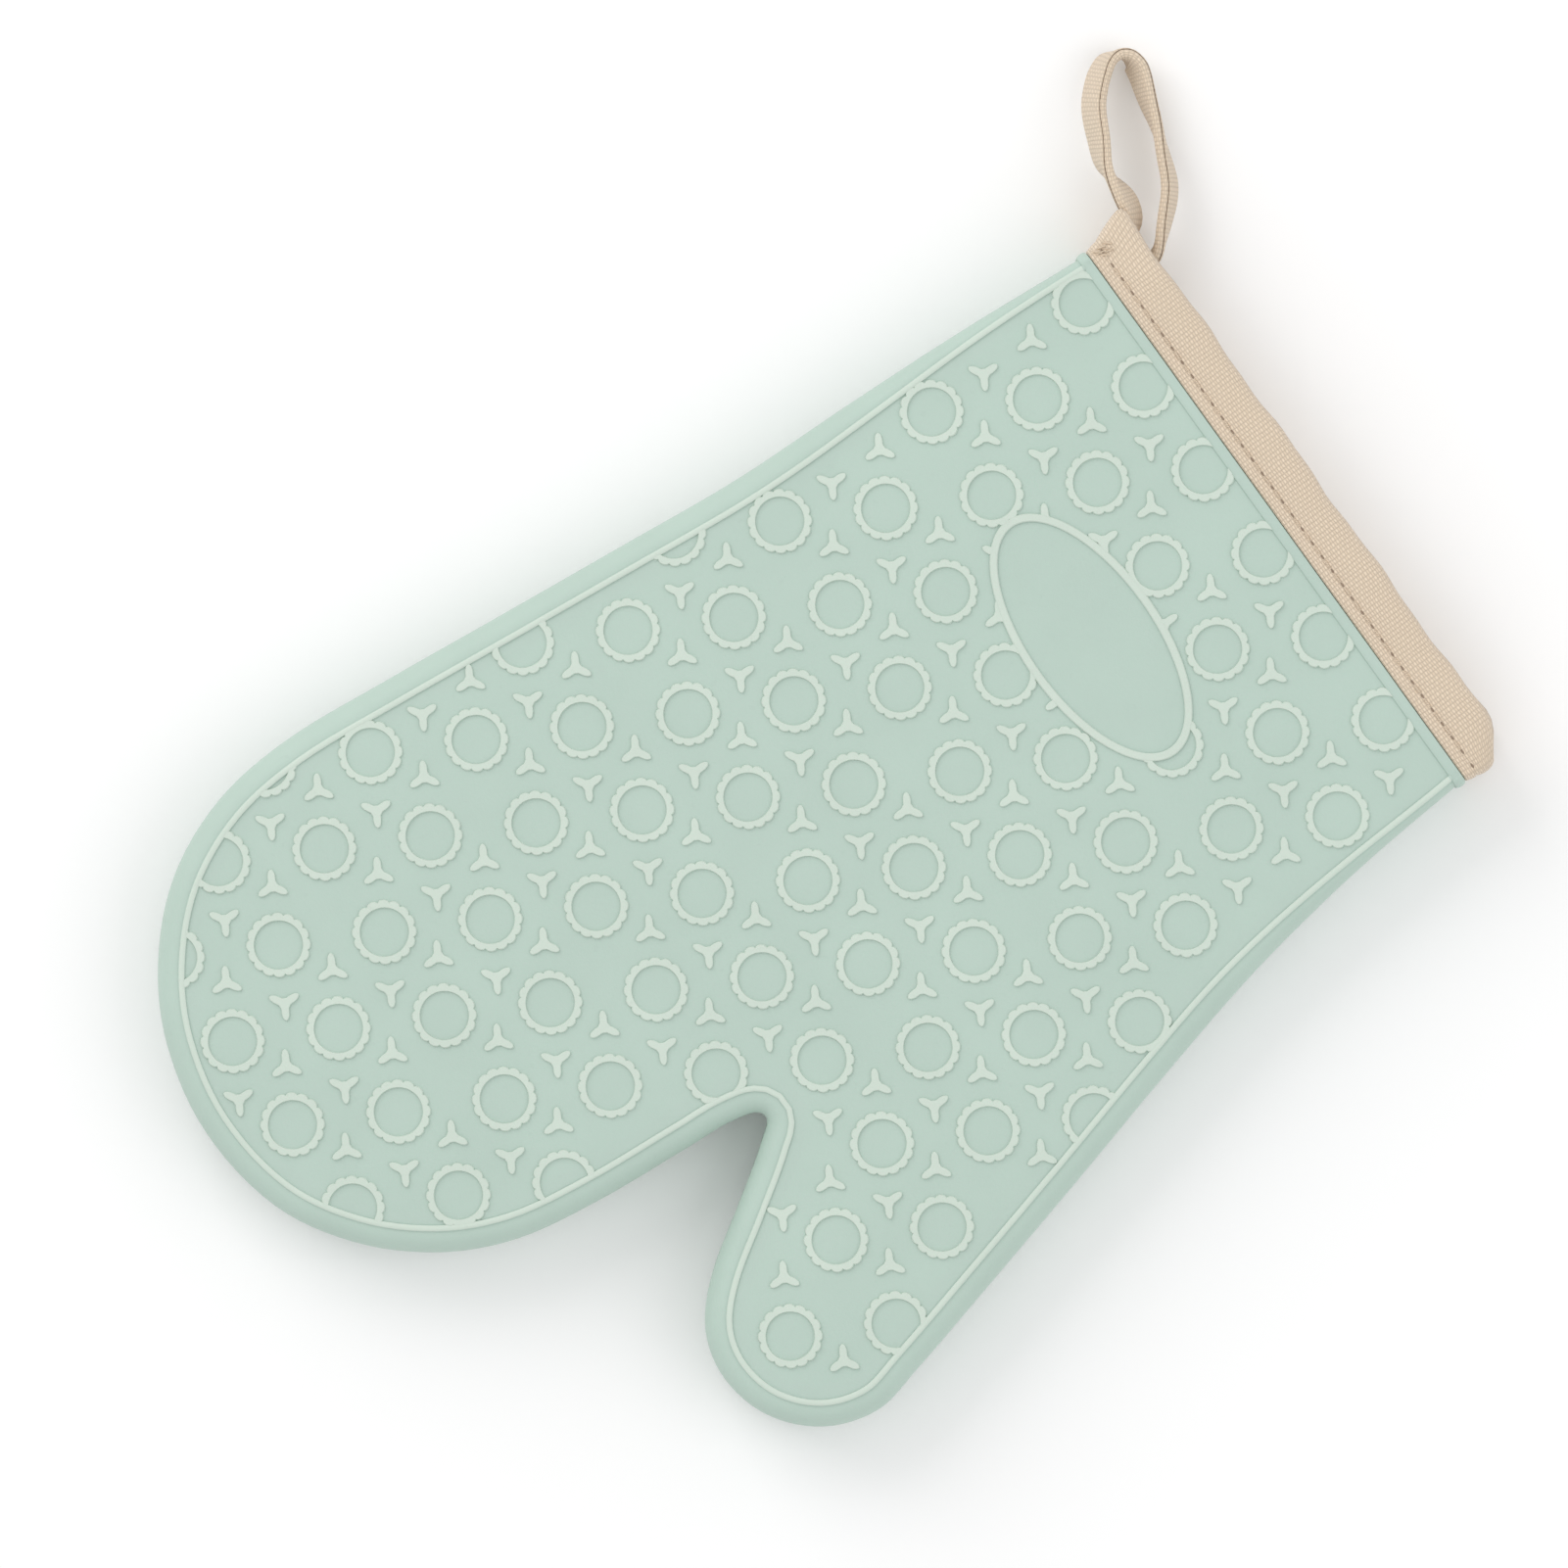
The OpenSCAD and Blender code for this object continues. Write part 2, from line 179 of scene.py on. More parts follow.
# ---------------------------------------------------------------- shader maths
class Value:
    """A shader socket that Python's operators work on"""

    def __init__(self, shade, socket):
        self.shade, self.socket = shade, socket

    def __add__(self, other):
        return self.shade.maths("ADD", self, other)

    def __sub__(self, other):
        return self.shade.maths("SUBTRACT", self, other)

    def __rsub__(self, other):
        return self.shade.maths("SUBTRACT", other, self)

    def __mul__(self, other):
        return self.shade.maths("MULTIPLY", self, other)

    def __truediv__(self, other):
        return self.shade.maths("DIVIDE", self, other)

    def __rtruediv__(self, other):
        return self.shade.maths("DIVIDE", other, self)

    def __pow__(self, other):
        return self.shade.maths("POWER", self, other)

    def __rpow__(self, other):
        return self.shade.maths("POWER", other, self)

    def __abs__(self):
        return self.shade.maths("ABSOLUTE", self)

    __radd__ = __add__
    __rmul__ = __mul__

    def sine(self):
        return self.shade.maths("SINE", self)

    def over(self, edge):
        """1 where the value is above the edge, 0 elsewhere"""
        return self.shade.maths("GREATER_THAN", self, edge)

    def under(self, edge):
        """1 where the value is below the edge, 0 elsewhere"""
        return self.shade.maths("LESS_THAN", self, edge)

    def wrapped(self, length):
        """The value's place in a pattern that repeats at that length"""
        return self.shade.maths("FLOORED_MODULO", self, length)

    def axes(self):
        """The X, Y and Z of a vector"""
        parts = self.shade.node("ShaderNodeSeparateXYZ", {0: self}).socket.node
        return [Value(self.shade, socket) for socket in parts.outputs]


# Places of the colour sockets on a Mix node
MIX_SHARE, MIX_FIRST, MIX_SECOND, MIX_RESULT = 0, 6, 7, 2


class Shade:
    """A material under construction"""

    def __init__(self, name, **constants):
        self.material = bpy.data.materials.new(name)
        self.material.use_nodes = True
        self.tree = self.material.node_tree
        self.surface = self.tree.nodes["Principled BSDF"]
        for label, value in constants.items():
            self.surface.inputs[label.replace("_", " ")].default_value = value

    def feed(self, place, value):
        """Links a value to a socket, or sets a constant on it"""
        if isinstance(value, Value):
            self.tree.links.new(place, value.socket)
        else:
            place.default_value = value

    def node(self, kind, sockets, output=0, **settings):
        """A new node: its settings first, then the values or links of its sockets"""
        made = self.tree.nodes.new(kind)
        for label, value in settings.items():
            setattr(made, label, value)
        for place, value in sockets.items():
            self.feed(made.inputs[place], value)
        return Value(self, made.outputs[output])

    def maths(self, operation, *values):
        return self.node("ShaderNodeMath", dict(enumerate(values)), operation=operation)

    def place(self):
        """Place on the object, in metres"""
        return self.node("ShaderNodeTexCoord", {}, "Object")

    def tape_place(self):
        """Place along a tape and round its section, in metres"""
        return self.node("ShaderNodeUVMap", {}, uv_map=TAPE_UV).axes()[:2]

    def noise(self, scale, detail=4.0, rough=0.55):
        """Noise from 0 to 1, with the scale in waves to the metre"""
        return self.node("ShaderNodeTexNoise", {"Vector": self.place(), "Scale": scale,
                                                "Detail": detail, "Roughness": rough})

    def blend(self, share, first, second):
        """The first colour, turned into the second by the share"""
        return self.node("ShaderNodeMix", {MIX_SHARE: share, MIX_FIRST: first,
                                           MIX_SECOND: second}, MIX_RESULT, data_type="RGBA")

    def bump(self, height, strength, distance):
        return self.node("ShaderNodeBump",
                         {"Height": height, "Strength": strength, "Distance": distance})

    def finish(self, colour, roughness, normal=None):
        self.feed(self.surface.inputs["Base Color"], colour)
        self.feed(self.surface.inputs["Roughness"], roughness)
        if normal is not None:
            self.feed(self.surface.inputs["Normal"], normal)
        return self.material


# ---------------------------------------------------------------- materials
TAPE_UV = "tape"
# Noise scales, in waves to the metre
CLOUD, SPECKS, GRAIN = 55.0, 420.0, 1500.0
SLUB, WANDER, CANVAS_FIBRE = 150.0, 260.0, 3800.0
DYE, COTTON_FIBRE = 60.0, 2600.0
THREAD_FIBRE = 4200.0
SPECK_LEVEL = 0.71                      # noise above this is a speck
# Spacing of the threads across and along a cloth, in metres
TAPE_THREADS = (0.00098, 0.00062)
LOOP_THREADS = (0.00096, 0.0006)
COTTON_THREADS = (0.00042, 0.00048)
WANDER_REACH = (0.0005, 0.0004)         # how far the canvas threads stray, in metres
WEFT_SUNK = 0.25                        # how far the canvas's weft lies under its warp
WARP_COLOUR = (0.90, 0.81, 0.68, 1)
HOLE_HALF = (0.26, 0.62)                # half a needle hole, across and along the seam
# Painted shade inside the needle holes
HOLE_SHADE = (0.17, 0.10, 0.06, 1)
TWIST_LAY = (1.0, 1.3, 0.7)             # direction in which a thread's twist repeats
TWIST = 9000.0


def tinted(colour, factor):
    """The colour made lighter or darker"""
    return tuple(min(1.0, c * factor) for c in colour[:3]) + (1.0,)


def silicone_material(name, base):
    """Satin silicone: fine mould grain, faint cloudiness and a few darker specks"""
    s = Shade(name, Specular_IOR_Level=0.38, Subsurface_Weight=0.06,
              Subsurface_Radius=(0.004, 0.006, 0.005), Subsurface_Scale=0.5)
    cloud = s.noise(CLOUD, detail=3.0)
    grain = s.noise(GRAIN, detail=2.0, rough=0.6)
    specks = s.noise(SPECKS, detail=2.0).over(SPECK_LEVEL)
    tone = s.blend(cloud, tinted(base, 0.955), tinted(base, 1.04))
    tone = s.blend(specks * 0.10, tone, tinted(base, 0.78))
    roughness = grain * 0.10 + cloud * 0.08 + 0.46
    height = grain * 0.6 + cloud * 0.4
    return s.finish(tone, roughness, s.bump(height, strength=0.22, distance=0.00025))


def plain_weave(across, along, threads, sunk=0.0):
    """Height of a plain weave, 0 in its gaps and 1 on its threads, and where the warp is on top"""
    su = (across * (math.pi / threads[0])).sine()
    sv = (along * (math.pi / threads[1])).sine()
    warp_up = (su * sv).over(0.0)
    warp = (abs(su) ** 0.5) * (abs(sv) * 0.6 + 0.4)
    weft = (abs(sv) ** 0.6) * (abs(su) * 0.5 + 0.5) * (1.0 - sunk)
    return warp * warp_up + weft * (1 - warp_up), warp_up


def needle_holes(s):
    """1 in the holes between the binding's stitches, 0 elsewhere"""
    x, y = s.place().axes()[:2]
    at_x, at_y = (float(c) for c in to_row((STITCH_X, STITCH_PITCH / 2, 0))[:2])
    pitch = STITCH_PITCH * MM
    dx = (x - at_x) / (HOLE_HALF[0] * MM)
    dy = ((y - at_y + pitch / 2).wrapped(pitch) - pitch / 2) / (HOLE_HALF[1] * MM)
    return (dx * dx + dy * dy).under(1.0)


def canvas_material(name, colour, threads, holes=False):
    """Undyed canvas tape: plain weave with slubs, fuzz and shaded gaps, and painted shade in any
    needle holes
    """
    s = Shade(name, Specular_IOR_Level=0.15, Sheen_Weight=0.25, Sheen_Roughness=0.6)
    u, v = s.tape_place()
    wander = s.noise(WANDER, detail=2.0) - 0.5
    height, warp_up = plain_weave(u + wander * WANDER_REACH[0], v + wander * WANDER_REACH[1],
                                  threads, WEFT_SUNK)
    fibre = s.noise(CANVAS_FIBRE, detail=3.0, rough=0.7)
    slub = s.noise(SLUB, detail=3.0)
    tone = s.blend(height, tinted(colour, 0.66), tinted(colour, 1.12))
    tone = s.blend(slub * 0.30, tone, tinted(colour, 0.88))
    tone = s.blend(fibre * 0.22, tone, tinted(colour, 0.72))
    tone = s.blend(warp_up * height * 0.16, tone, WARP_COLOUR)
    relief = height * 0.8 + fibre * 0.25
    if holes:
        hole = needle_holes(s)
        # Painted shade: the needle holes are darkened for the shade inside them
        tone = s.blend(hole * 0.72, tone, HOLE_SHADE)
        relief = relief - hole * 1.2
    return s.finish(tone, 0.86 + fibre * 0.1, s.bump(relief, strength=0.75, distance=0.0004))


def cotton_material(name, colour, fuzzy=0.0):
    """Lining cotton, or wadding when it is fuzzy: a fine weave with fibres"""
    s = Shade(name, Specular_IOR_Level=0.12, Sheen_Weight=0.2)
    x, y, z = s.place().axes()
    weave = plain_weave(x, y + z, COTTON_THREADS)[0]
    fibre = s.noise(COTTON_FIBRE, rough=0.7)
    dye = s.noise(DYE, detail=3.0)
    height = weave * (1.0 - fuzzy) + fibre * (0.2 + fuzzy)
    # Painted shade: lower places of the weave and its fibres darker, higher ones paler
    tone = s.blend(height, tinted(colour, 0.80), tinted(colour, 1.06))
    tone = s.blend(dye * 0.25, tone, tinted(colour, 0.90))
    return s.finish(tone, 0.9 + fibre * 0.08, s.bump(height, strength=0.5, distance=0.00025))


def thread_material(name, colour):
    """Twisted sewing thread"""
    s = Shade(name, Specular_IOR_Level=0.25, Sheen_Weight=0.1)
    x, y, z = (axis * lay for axis, lay in zip(s.place().axes(), TWIST_LAY))
    twist = ((x + y + z) * TWIST).sine() * 0.5 + 0.5
    fibre = s.noise(THREAD_FIBRE, detail=3.0, rough=0.7)
    # Painted shade and highlight: the twist's grooves darker, its ridges paler
    tone = s.blend(twist, tinted(colour, 0.72), tinted(colour, 1.12))
    tone = s.blend(fibre * 0.3, tone, tinted(colour, 0.8))
    return s.finish(tone, 0.72 + fibre * 0.15, s.bump(twist, strength=0.4, distance=0.00015))


# ---------------------------------------------------------------- outline of the hand
def smooth01(t):
    """Smooth step from 0 to 1"""
    c = np.clip(t, 0, 1)
    return c * c * (3 - 2 * c)


def outline(steps):
    """Points round the hand and their inward normals, in the hand frame"""
    k = np.array(KNOTS, float)
    heading = np.zeros_like(k)
    heading[1:-1] = k[2:] - k[:-2]
    heading[0], heading[-1] = (1, 0), (-1, 0)
    heading /= np.linalg.norm(heading, axis=1)[:, None]
    points = []
    for i in range(len(k) - 1):
        length = np.linalg.norm(k[i + 1] - k[i])
        for t in np.arange(steps) / steps:
            points.append(k[i] * (1 - t) ** 2 * (1 + 2 * t) + k[i + 1] * t * t * (3 - 2 * t)
                          + heading[i] * length * t * (1 - t) ** 2
                          - heading[i + 1] * length * t * t * (1 - t))
    p = np.array(points + [k[-1]])
    d = np.zeros_like(p)
    d[1:-1] = p[2:] - p[:-2]
    d[0], d[-1] = (1, 0), (-1, 0)
    d /= np.linalg.norm(d, axis=1)[:, None]
    return p, np.stack([-d[:, 1], d[:, 0]], 1)


def roll_share(x):
    """How much of the side's full roll there is at that place along the hand"""
    return CUFF_ROLL + (1 - CUFF_ROLL) * smooth01(x / CUFF_BLEND)


def inset_line(fixed, rolled, steps, x0=None):
    """The outline moved inwards, carried straight out to x0 at the cuff"""
    p, n = outline(steps)
    q = p + n * (fixed + rolled * roll_share(p[:, 0]))[:, None]
    if x0 is not None:
        q = np.concatenate([[(x0, q[0, 1])], q, [(x0, q[-1, 1])]])
    return q


PLAN_STEPS = 4           # steps between two knots of the outline
EDGE = outline(PLAN_STEPS)[0]
CHUNK = 4000             # points measured at once, which bounds the memory


def depth_inside(xy):
    """Distance from each point to the outline's sides; the open cuff doesn't count"""
    xy = np.asarray(xy, float)
    a, b = EDGE[:-1], EDGE[1:]
    out = np.empty(len(xy))
    for start in range(0, len(xy), CHUNK):
        p = xy[start:start + CHUNK, None, :]
        t = np.clip(((p - a) * (b - a)).sum(2) / ((b - a) ** 2).sum(1), 0, 1)
        out[start:start + CHUNK] = np.linalg.norm(p - (a + t[..., None] * (b - a)), axis=2).min(1)
    return out


CROWN_FROM = 6.5         # the face is flat within this distance of the outline


def crown(xy, sizes):
    """Swell of the upper face, with the slow waves of a soft sheet lying on its lining"""
    x, y = np.asarray(xy, float).T
    past_bead = depth_inside(xy) - CROWN_FROM
    waves = 0.16 * np.sin(x / 19 + y / 41) + 0.14 * np.sin(y / 17 - x / 37 + 1.3)
    return (sizes.crown / MM * smooth01(past_bead / 24) * smooth01((x + 2) / 14)
            + waves * smooth01(past_bead / 12) * smooth01((x - 1) / 10))


# ---------------------------------------------------------------- mesh work
def to_row(points):
    """Hand-frame places in millimetres, as row-frame places in metres"""
    return (np.asarray(points, float) - ORIGIN) * MM


def raw_coords(obj):
    """Vertices as the mesh holds them"""
    co = np.empty(len(obj.data.vertices) * 3)
    obj.data.vertices.foreach_get("co", co)
    return co.reshape(-1, 3)


def coords_of(obj):
    """Vertices in the hand frame, in millimetres"""
    return raw_coords(obj) / MM + ORIGIN


def put_coords(obj, points):
    """Moves the vertices to hand-frame places"""
    obj.data.vertices.foreach_set("co", to_row(points).ravel())
    obj.data.update()


def deselect():
    bpy.ops.object.select_all(action="DESELECT")


def only(obj):
    """Makes the object the only selected one, and the active one"""
    deselect()
    obj.select_set(True)
    bpy.context.view_layer.objects.active = obj


def named(name):
    """Names the object that an operator has just made"""
    obj = bpy.context.object
    obj.name = obj.data.name = name
    return obj


def edit(obj, mode="VERT"):
    """Goes into edit mode with all of the mesh selected"""
    only(obj)
    bpy.ops.object.mode_set(mode="EDIT")
    bpy.ops.mesh.select_mode(type=mode)
    bpy.ops.mesh.select_all(action="SELECT")


def done():
    bpy.ops.object.mode_set(mode="OBJECT")


def outward(obj):
    """Turns every face of a closed mesh outwards"""
    edit(obj)
    bpy.ops.mesh.normals_make_consistent(inside=False)
    done()
    return obj


MOST_RINGS = 256         # the torus operator takes no more major segments


def tube(name, rings, closed=False):
    """A torus whose rings are moved onto a route; an open one is cut and capped"""
    rings = np.asarray(rings, float)
    n, m = rings.shape[:2]
    if n > MOST_RINGS:
        raise ValueError(f"{name} has {n} rings, and a torus takes {MOST_RINGS}")
    deselect()
    bpy.ops.mesh.primitive_torus_add(major_segments=n, minor_segments=m, generate_uvs=False)
    obj = named(name)
    put_coords(obj, rings.reshape(-1, 3))
    lay_uv(obj, rings)
    if not closed:
        edit(obj, "FACE")
        bpy.ops.mesh.select_all(action="DESELECT")
        done()
        for face in obj.data.polygons:
            majors = {v // m for v in face.vertices}
            face.select = majors == {0, n - 1}
        bpy.ops.object.mode_set(mode="EDIT")
        bpy.ops.mesh.delete(type="FACE")
        bpy.ops.mesh.select_all(action="SELECT")
        bpy.ops.mesh.fill_holes(sides=0)
        done()
    return outward(obj)


def lengths(points):
    """Length of a route at each of its points"""
    return np.concatenate([[0], np.cumsum(np.linalg.norm(np.diff(points, axis=0), axis=1))])


def lay_uv(obj, rings):
    """UV in metres: length along the route, and length round the section"""
    n, m = rings.shape[:2]
    mid, ring = rings.mean(1), rings[n // 2]
    along = lengths(np.concatenate([mid, mid[:1]]))
    around = lengths(np.concatenate([ring, ring[:1]]))
    layer = obj.data.uv_layers.new(name=TAPE_UV)
    for face in obj.data.polygons:
        corner = [(obj.data.loops[i].vertex_index // m, obj.data.loops[i].vertex_index % m)
                  for i in face.loop_indices]
        wrap_n = {c[0] for c in corner} == {0, n - 1}
        wrap_m = {c[1] for c in corner} == {0, m - 1}
        for i, (a, b) in zip(face.loop_indices, corner):
            a = n if wrap_n and a == 0 else a
            b = m if wrap_m and b == 0 else b
            layer.data[i].uv = (along[a] * MM, around[b] * MM)


def slab(name, line, z0, z1, cell):
    """A flat plate with that plan, cut into cells so that it can follow a curved face"""
    deselect()
    bpy.ops.mesh.primitive_circle_add(vertices=len(line), fill_type="NGON")
    obj = named(name)
    put_coords(obj, np.column_stack([line, np.full(len(line), z0)]))
    edit(obj)
    bpy.ops.mesh.extrude_region_move(TRANSFORM_OT_translate={"value": (0, 0, (z1 - z0) * MM)})
    done()
    low, high = line.min(0), line.max(0)
    edit(obj)
    for axis in (0, 1):
        for at in np.arange(low[axis] + cell * 0.37, high[axis], cell):
            place = [0.0, 0.0, 0.0]
            place[axis] = at
            normal = [1.0 if i == axis else 0.0 for i in range(3)]
            bpy.ops.mesh.select_all(action="SELECT")
            bpy.ops.mesh.bisect(plane_co=to_row(place), plane_no=normal)
    done()
    return outward(obj)


def join(name, objs):
    """One object made of several"""
    deselect()
    for o in objs:
        o.select_set(True)
    bpy.context.view_layer.objects.active = objs[0]
    bpy.ops.object.join()
    return named(name)


def rise(obj, lift):
    """Moves each vertex up by lift(co), a function of its hand-frame place"""
    co = coords_of(obj)
    co[:, 2] += lift(co)
    put_coords(obj, co)


def finish_piece(obj, body, slot, material, *nodes, degrees=35):
    """Gives a piece its material and smooth shading, hangs it under its body's empty and hides the
    model's parts that it replaces
    """
    obj.data.materials.clear()
    obj.data.materials.append(material)
    only(obj)
    bpy.ops.object.shade_smooth_by_angle(angle=math.radians(degrees))
    if body:
        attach(obj, body)
    if nodes:
        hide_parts(*nodes)
    return obj


def cut(obj, cutter, operation):
    """Boolean with a closed cutter, applied"""
    only(obj)
    modifier = obj.modifiers.new("cut", "BOOLEAN")
    modifier.operation, modifier.solver, modifier.object = operation, "EXACT", cutter
    bpy.ops.object.modifier_apply(modifier=modifier.name)


def remove(obj):
    bpy.data.objects.remove(obj, do_unlink=True)


def copy_of(obj):
    """A copy with its own mesh"""
    copy = obj.copy()
    copy.data = obj.data.copy()
    bpy.context.scene.collection.objects.link(copy)
    return copy


def placed_copies(name, model, places):
    """One object that holds a copy of the model at each (x, y, turn, z) in places"""
    base = raw_coords(model)
    copies = []
    for x, y, turn, z in places:
        c, s = math.cos(turn), math.sin(turn)
        spun = base @ np.array([[c, s, 0], [-s, c, 0], [0, 0, 1]])
        copies.append(copy_of(model))
        copies[-1].data.vertices.foreach_set("co", (spun + to_row((x, y, z))).ravel())
    return join(name, copies)


def mirrored(obj, name):
    """The same piece on the back face"""
    other = copy_of(obj)
    other.name = other.data.name = name
    co = coords_of(other)
    co[:, 2] = THICK - co[:, 2]
    put_coords(other, co)
    return outward(other)


# ---------------------------------------------------------------- silicone moulding
FLANGE_STEP = 0.4        # the side's flange lies this far under the faces that cover it
FLANGE_LAP = 0.8         # and reaches this far in under them
SIDE_STEPS = 6           # steps of the side between two knots of the outline


def side_section():
    """Closed C section of the side: (fixed inset, rolled inset, z), with a bead on both faces"""
    turn = np.linspace(math.pi / 2, 0, 9)
    inner_r = SIDE_R - WALL
    lower_out = [(BEAD_W + WALL, SIDE_R + FLANGE_LAP, RELIEF_H + FLANGE_STEP),
                 (BEAD_W + 0.05, SIDE_R, RELIEF_H + FLANGE_STEP),
                 (BEAD_W - 0.1, SIDE_R, 0.22), (BEAD_W - 0.4, SIDE_R, 0.02), (0.4, SIDE_R, 0.02),
                 (0.1, SIDE_R, 0.22), (-0.05, SIDE_R, RELIEF_H)]
    lower_out += [(0, SIDE_R * (1 - math.cos(a)), SIDE_R * (1 - math.sin(a)) + RELIEF_H)
                  for a in turn[1:]]
    lower_in = [(BEAD_W + WALL, SIDE_R + FLANGE_LAP, RELIEF_H + WALL)]
    lower_in += [(WALL, inner_r * (1 - math.cos(a)), WALL + inner_r * (1 - math.sin(a)) + RELIEF_H)
                 for a in turn]
    both = []
    for half, order in ((lower_out, 1), (lower_in, -1)):
        ring = half + [(f, r, THICK - z) for f, r, z in reversed(half)]
        both += ring[::order]
    return np.array(both)


def side_band():
    """The rolled side, from one end of the cuff round the hand to the other"""
    p, n = outline(SIDE_STEPS)
    section = side_section()
    inset = section[None, :, 0] + section[None, :, 1] * roll_share(p[:, 0])[:, None]
    xy = p[:, None, :] + n[:, None, :] * inset[..., None]
    z = np.broadcast_to(section[None, :, 2], xy.shape[:2])
    return tube("side_band", np.concatenate([xy, z[..., None]], axis=2))


def mouth(side, top, corner=7, edge=14):
    """Cross-section of the mouth in Y and Z, at a depth under the silicone's surface"""
    hw, hz = HALF_CUFF - side, Z_MID - RELIEF_H - top
    rx, rz = max(0.9 * SIDE_R * CUFF_ROLL - side, 0.8), max(SIDE_R - top, 0.8)
    points = []
    for qy, qz, start in ((1, 1, 0), (-1, 1, 90), (-1, -1, 180), (1, -1, 270)):
        for a in np.radians(start + np.linspace(0, 90, corner)):
            points.append((qy * (hw - rx) + rx * math.cos(a), qz * (hz - rz) + rz * math.sin(a)))
    out = []
    for i, a in enumerate(points):
        b = points[(i + 1) % len(points)]
        cuts = edge if (i + 1) % corner == 0 else 1
        out += [(a[0] + (b[0] - a[0]) * t, a[1] + (b[1] - a[1]) * t)
                for t in np.arange(cuts) / cuts]
    return np.array(out)


def mouth_tube(name, profile, corner=7, edge=14):
    """A ring round the mouth whose section is a list of (x, side depth, top depth)"""
    lines = [np.column_stack([np.full(4 * (corner - 1 + edge), x), mouth(s, t, corner, edge)])
             for x, s, t in profile]
    rings = np.stack(lines, axis=1)
    rings[..., 2] += Z_MID
    return tube(name, rings, closed=True)


RIM_FOOT = -0.3          # depth of the oval rim's base under the face
RIM_EDGE = 0.25          # bevel along the oval rim


def oval_line(grow):
    """Points of the oval grown by that much"""
    turn = np.linspace(0, 2 * math.pi, OVAL_POINTS, endpoint=False)
    return np.column_stack([OVAL_AT[0] + (OVAL_HALF[0] + grow) * np.cos(turn),
                            OVAL_AT[1] + (OVAL_HALF[1] + grow) * np.sin(turn)])


def oval_rim():
    """Raised rim round the blank oval"""
    profile = [(0.05, RIM_FOOT), (0, RELIEF_H - RIM_EDGE), (-RIM_EDGE, RELIEF_H),
               (RIM_EDGE - OVAL_RIM, RELIEF_H), (-OVAL_RIM, RELIEF_H - RIM_EDGE),
               (-OVAL_RIM - 0.05, RIM_FOOT)]
    lines = [np.column_stack([oval_line(r), np.full(OVAL_POINTS, FIELD_Z + z)])
             for r, z in profile]
    return tube("oval_rim", np.stack(lines, axis=1), closed=True)


FACE_CELL = 6.5          # the upper face is cut this fine, so that it can swell
BACK_CELL = 13           # the flat back face
RIB_PROFILE = [
    (0.35, 0.9, 0.9), (0.1, 0.1, 0.0), (-0.1, -0.45, -0.42), (-0.5, -0.68, -0.6),
    (-1.3, -0.78, -0.66), (-2.0, -0.68, -0.6), (-2.4, -0.45, -0.4), (RIB_X0, 0.1, 0.0),
    (RIB_X0, 1.25, 1.25), (-8.7, 1.25, 1.25), (-8.7, 1.7, 1.7), (0.35, 1.7, 1.7)]


class MITT_OT_shell(bpy.types.Operator):
    """Make the silicone moulding: rolled side with its bead, both faces, cuff rib and blank oval"""
    bl_idname = "mitt.shell"
    bl_label = "Silicone moulding"

    def execute(self, context):
        sizes, colours = context.scene.mitt_sizes, context.scene.mitt_colours
        plan = inset_line(BEAD_W * 0.75, SIDE_R, PLAN_STEPS)
        top = slab("top_face", plan, FIELD_Z - WALL, FIELD_Z, FACE_CELL)
        rise(top, lambda co: crown(co[:, :2], sizes))
        bottom = slab("bottom_face", plan, RELIEF_H, RELIEF_H + WALL, BACK_CELL)
        rib = mouth_tube("cuff_rib", RIB_PROFILE)
        rim = oval_rim()
        rise(rim, lambda co: crown(co[:, :2], sizes))
        shell = join("silicone_mitt", [side_band(), top, bottom, rib, rim])
        finish_piece(shell, "mitt", "silicone",
                     silicone_material("satin_silicone", colours.silicone), "silicone_shell")
        # The bead and the oval rim take the paler silicone, painted light on their tops
        shell.data.materials.append(silicone_material("raised_lines_painted_light", colours.raised))
        co = coords_of(shell)
        centres = np.array([co[list(f.vertices)].mean(0) for f in shell.data.polygons])
        lifted = centres[:, 2] - FIELD_Z - crown(centres[:, :2], sizes)
        for face, height, centre in zip(shell.data.polygons, lifted, centres):
            on_line = height > RELIEF_H / 2 or centre[2] < RELIEF_H / 2
            face.material_index = int(on_line and centre[0] > RIB_FACE_X)
        return {"FINISHED"}


# ---------------------------------------------------------------- grip pattern
GRIP_ROWS = range(0, 14)
GRIP_COLUMNS = range(-3, 9)
GRIP_FOOT = -0.25        # depth of a ring's or star's base under the face
LOBE_STEPS = 6           # points to a ring's lobe
LOBE_DEPTH = 0.72
ARM_SPREAD = 1.7         # crowds the star's points towards the ends of its arms
STAR_WAIST = 1.25        # the star's radius between two arms
STAR_BEVEL = 0.14


def grid_places():
    """Centre and turn of each ring and of each star"""
    rings, stars = [], []
    for row in GRIP_ROWS:
        for j in GRIP_COLUMNS:
            rings.append((*ring_at(row, j), 0.0))
            stars.append((*star_at(row, j, -1), 0.0))
            # every second gap of an even row has no star towards the fingers
            if row % 2 == 1 or j % 2 == 1:
                stars.append((*star_at(row, j, 1), math.pi))
    return rings, stars


def ring_model(sizes):
    """One scalloped ring, its base a little under the face"""
    outer, inner = sizes.ring_outer / MM, sizes.ring_inner / MM
    h = sizes.ring_height / MM
    steps = np.arange(RING_LOBES * LOBE_STEPS)
    turn = steps * 2 * math.pi / len(steps)
    half = LOBE_STEPS / 2
    across = (steps % LOBE_STEPS - half) / half
    lobes = outer - LOBE_DEPTH * (1 - np.sqrt(1 - 0.94 * across ** 2))
    rows = []
    for a, r in zip(turn, lobes):
        section = [(r + 0.08, GRIP_FOOT), (r, h - 0.2), (r - 0.2, h), (inner + 0.16, h),
                   (inner - 0.05, GRIP_FOOT)]
        rows.append([(q * math.cos(a), q * math.sin(a), z) for q, z in section])
    return tube("ring_model", np.array(rows) + ORIGIN, closed=True)


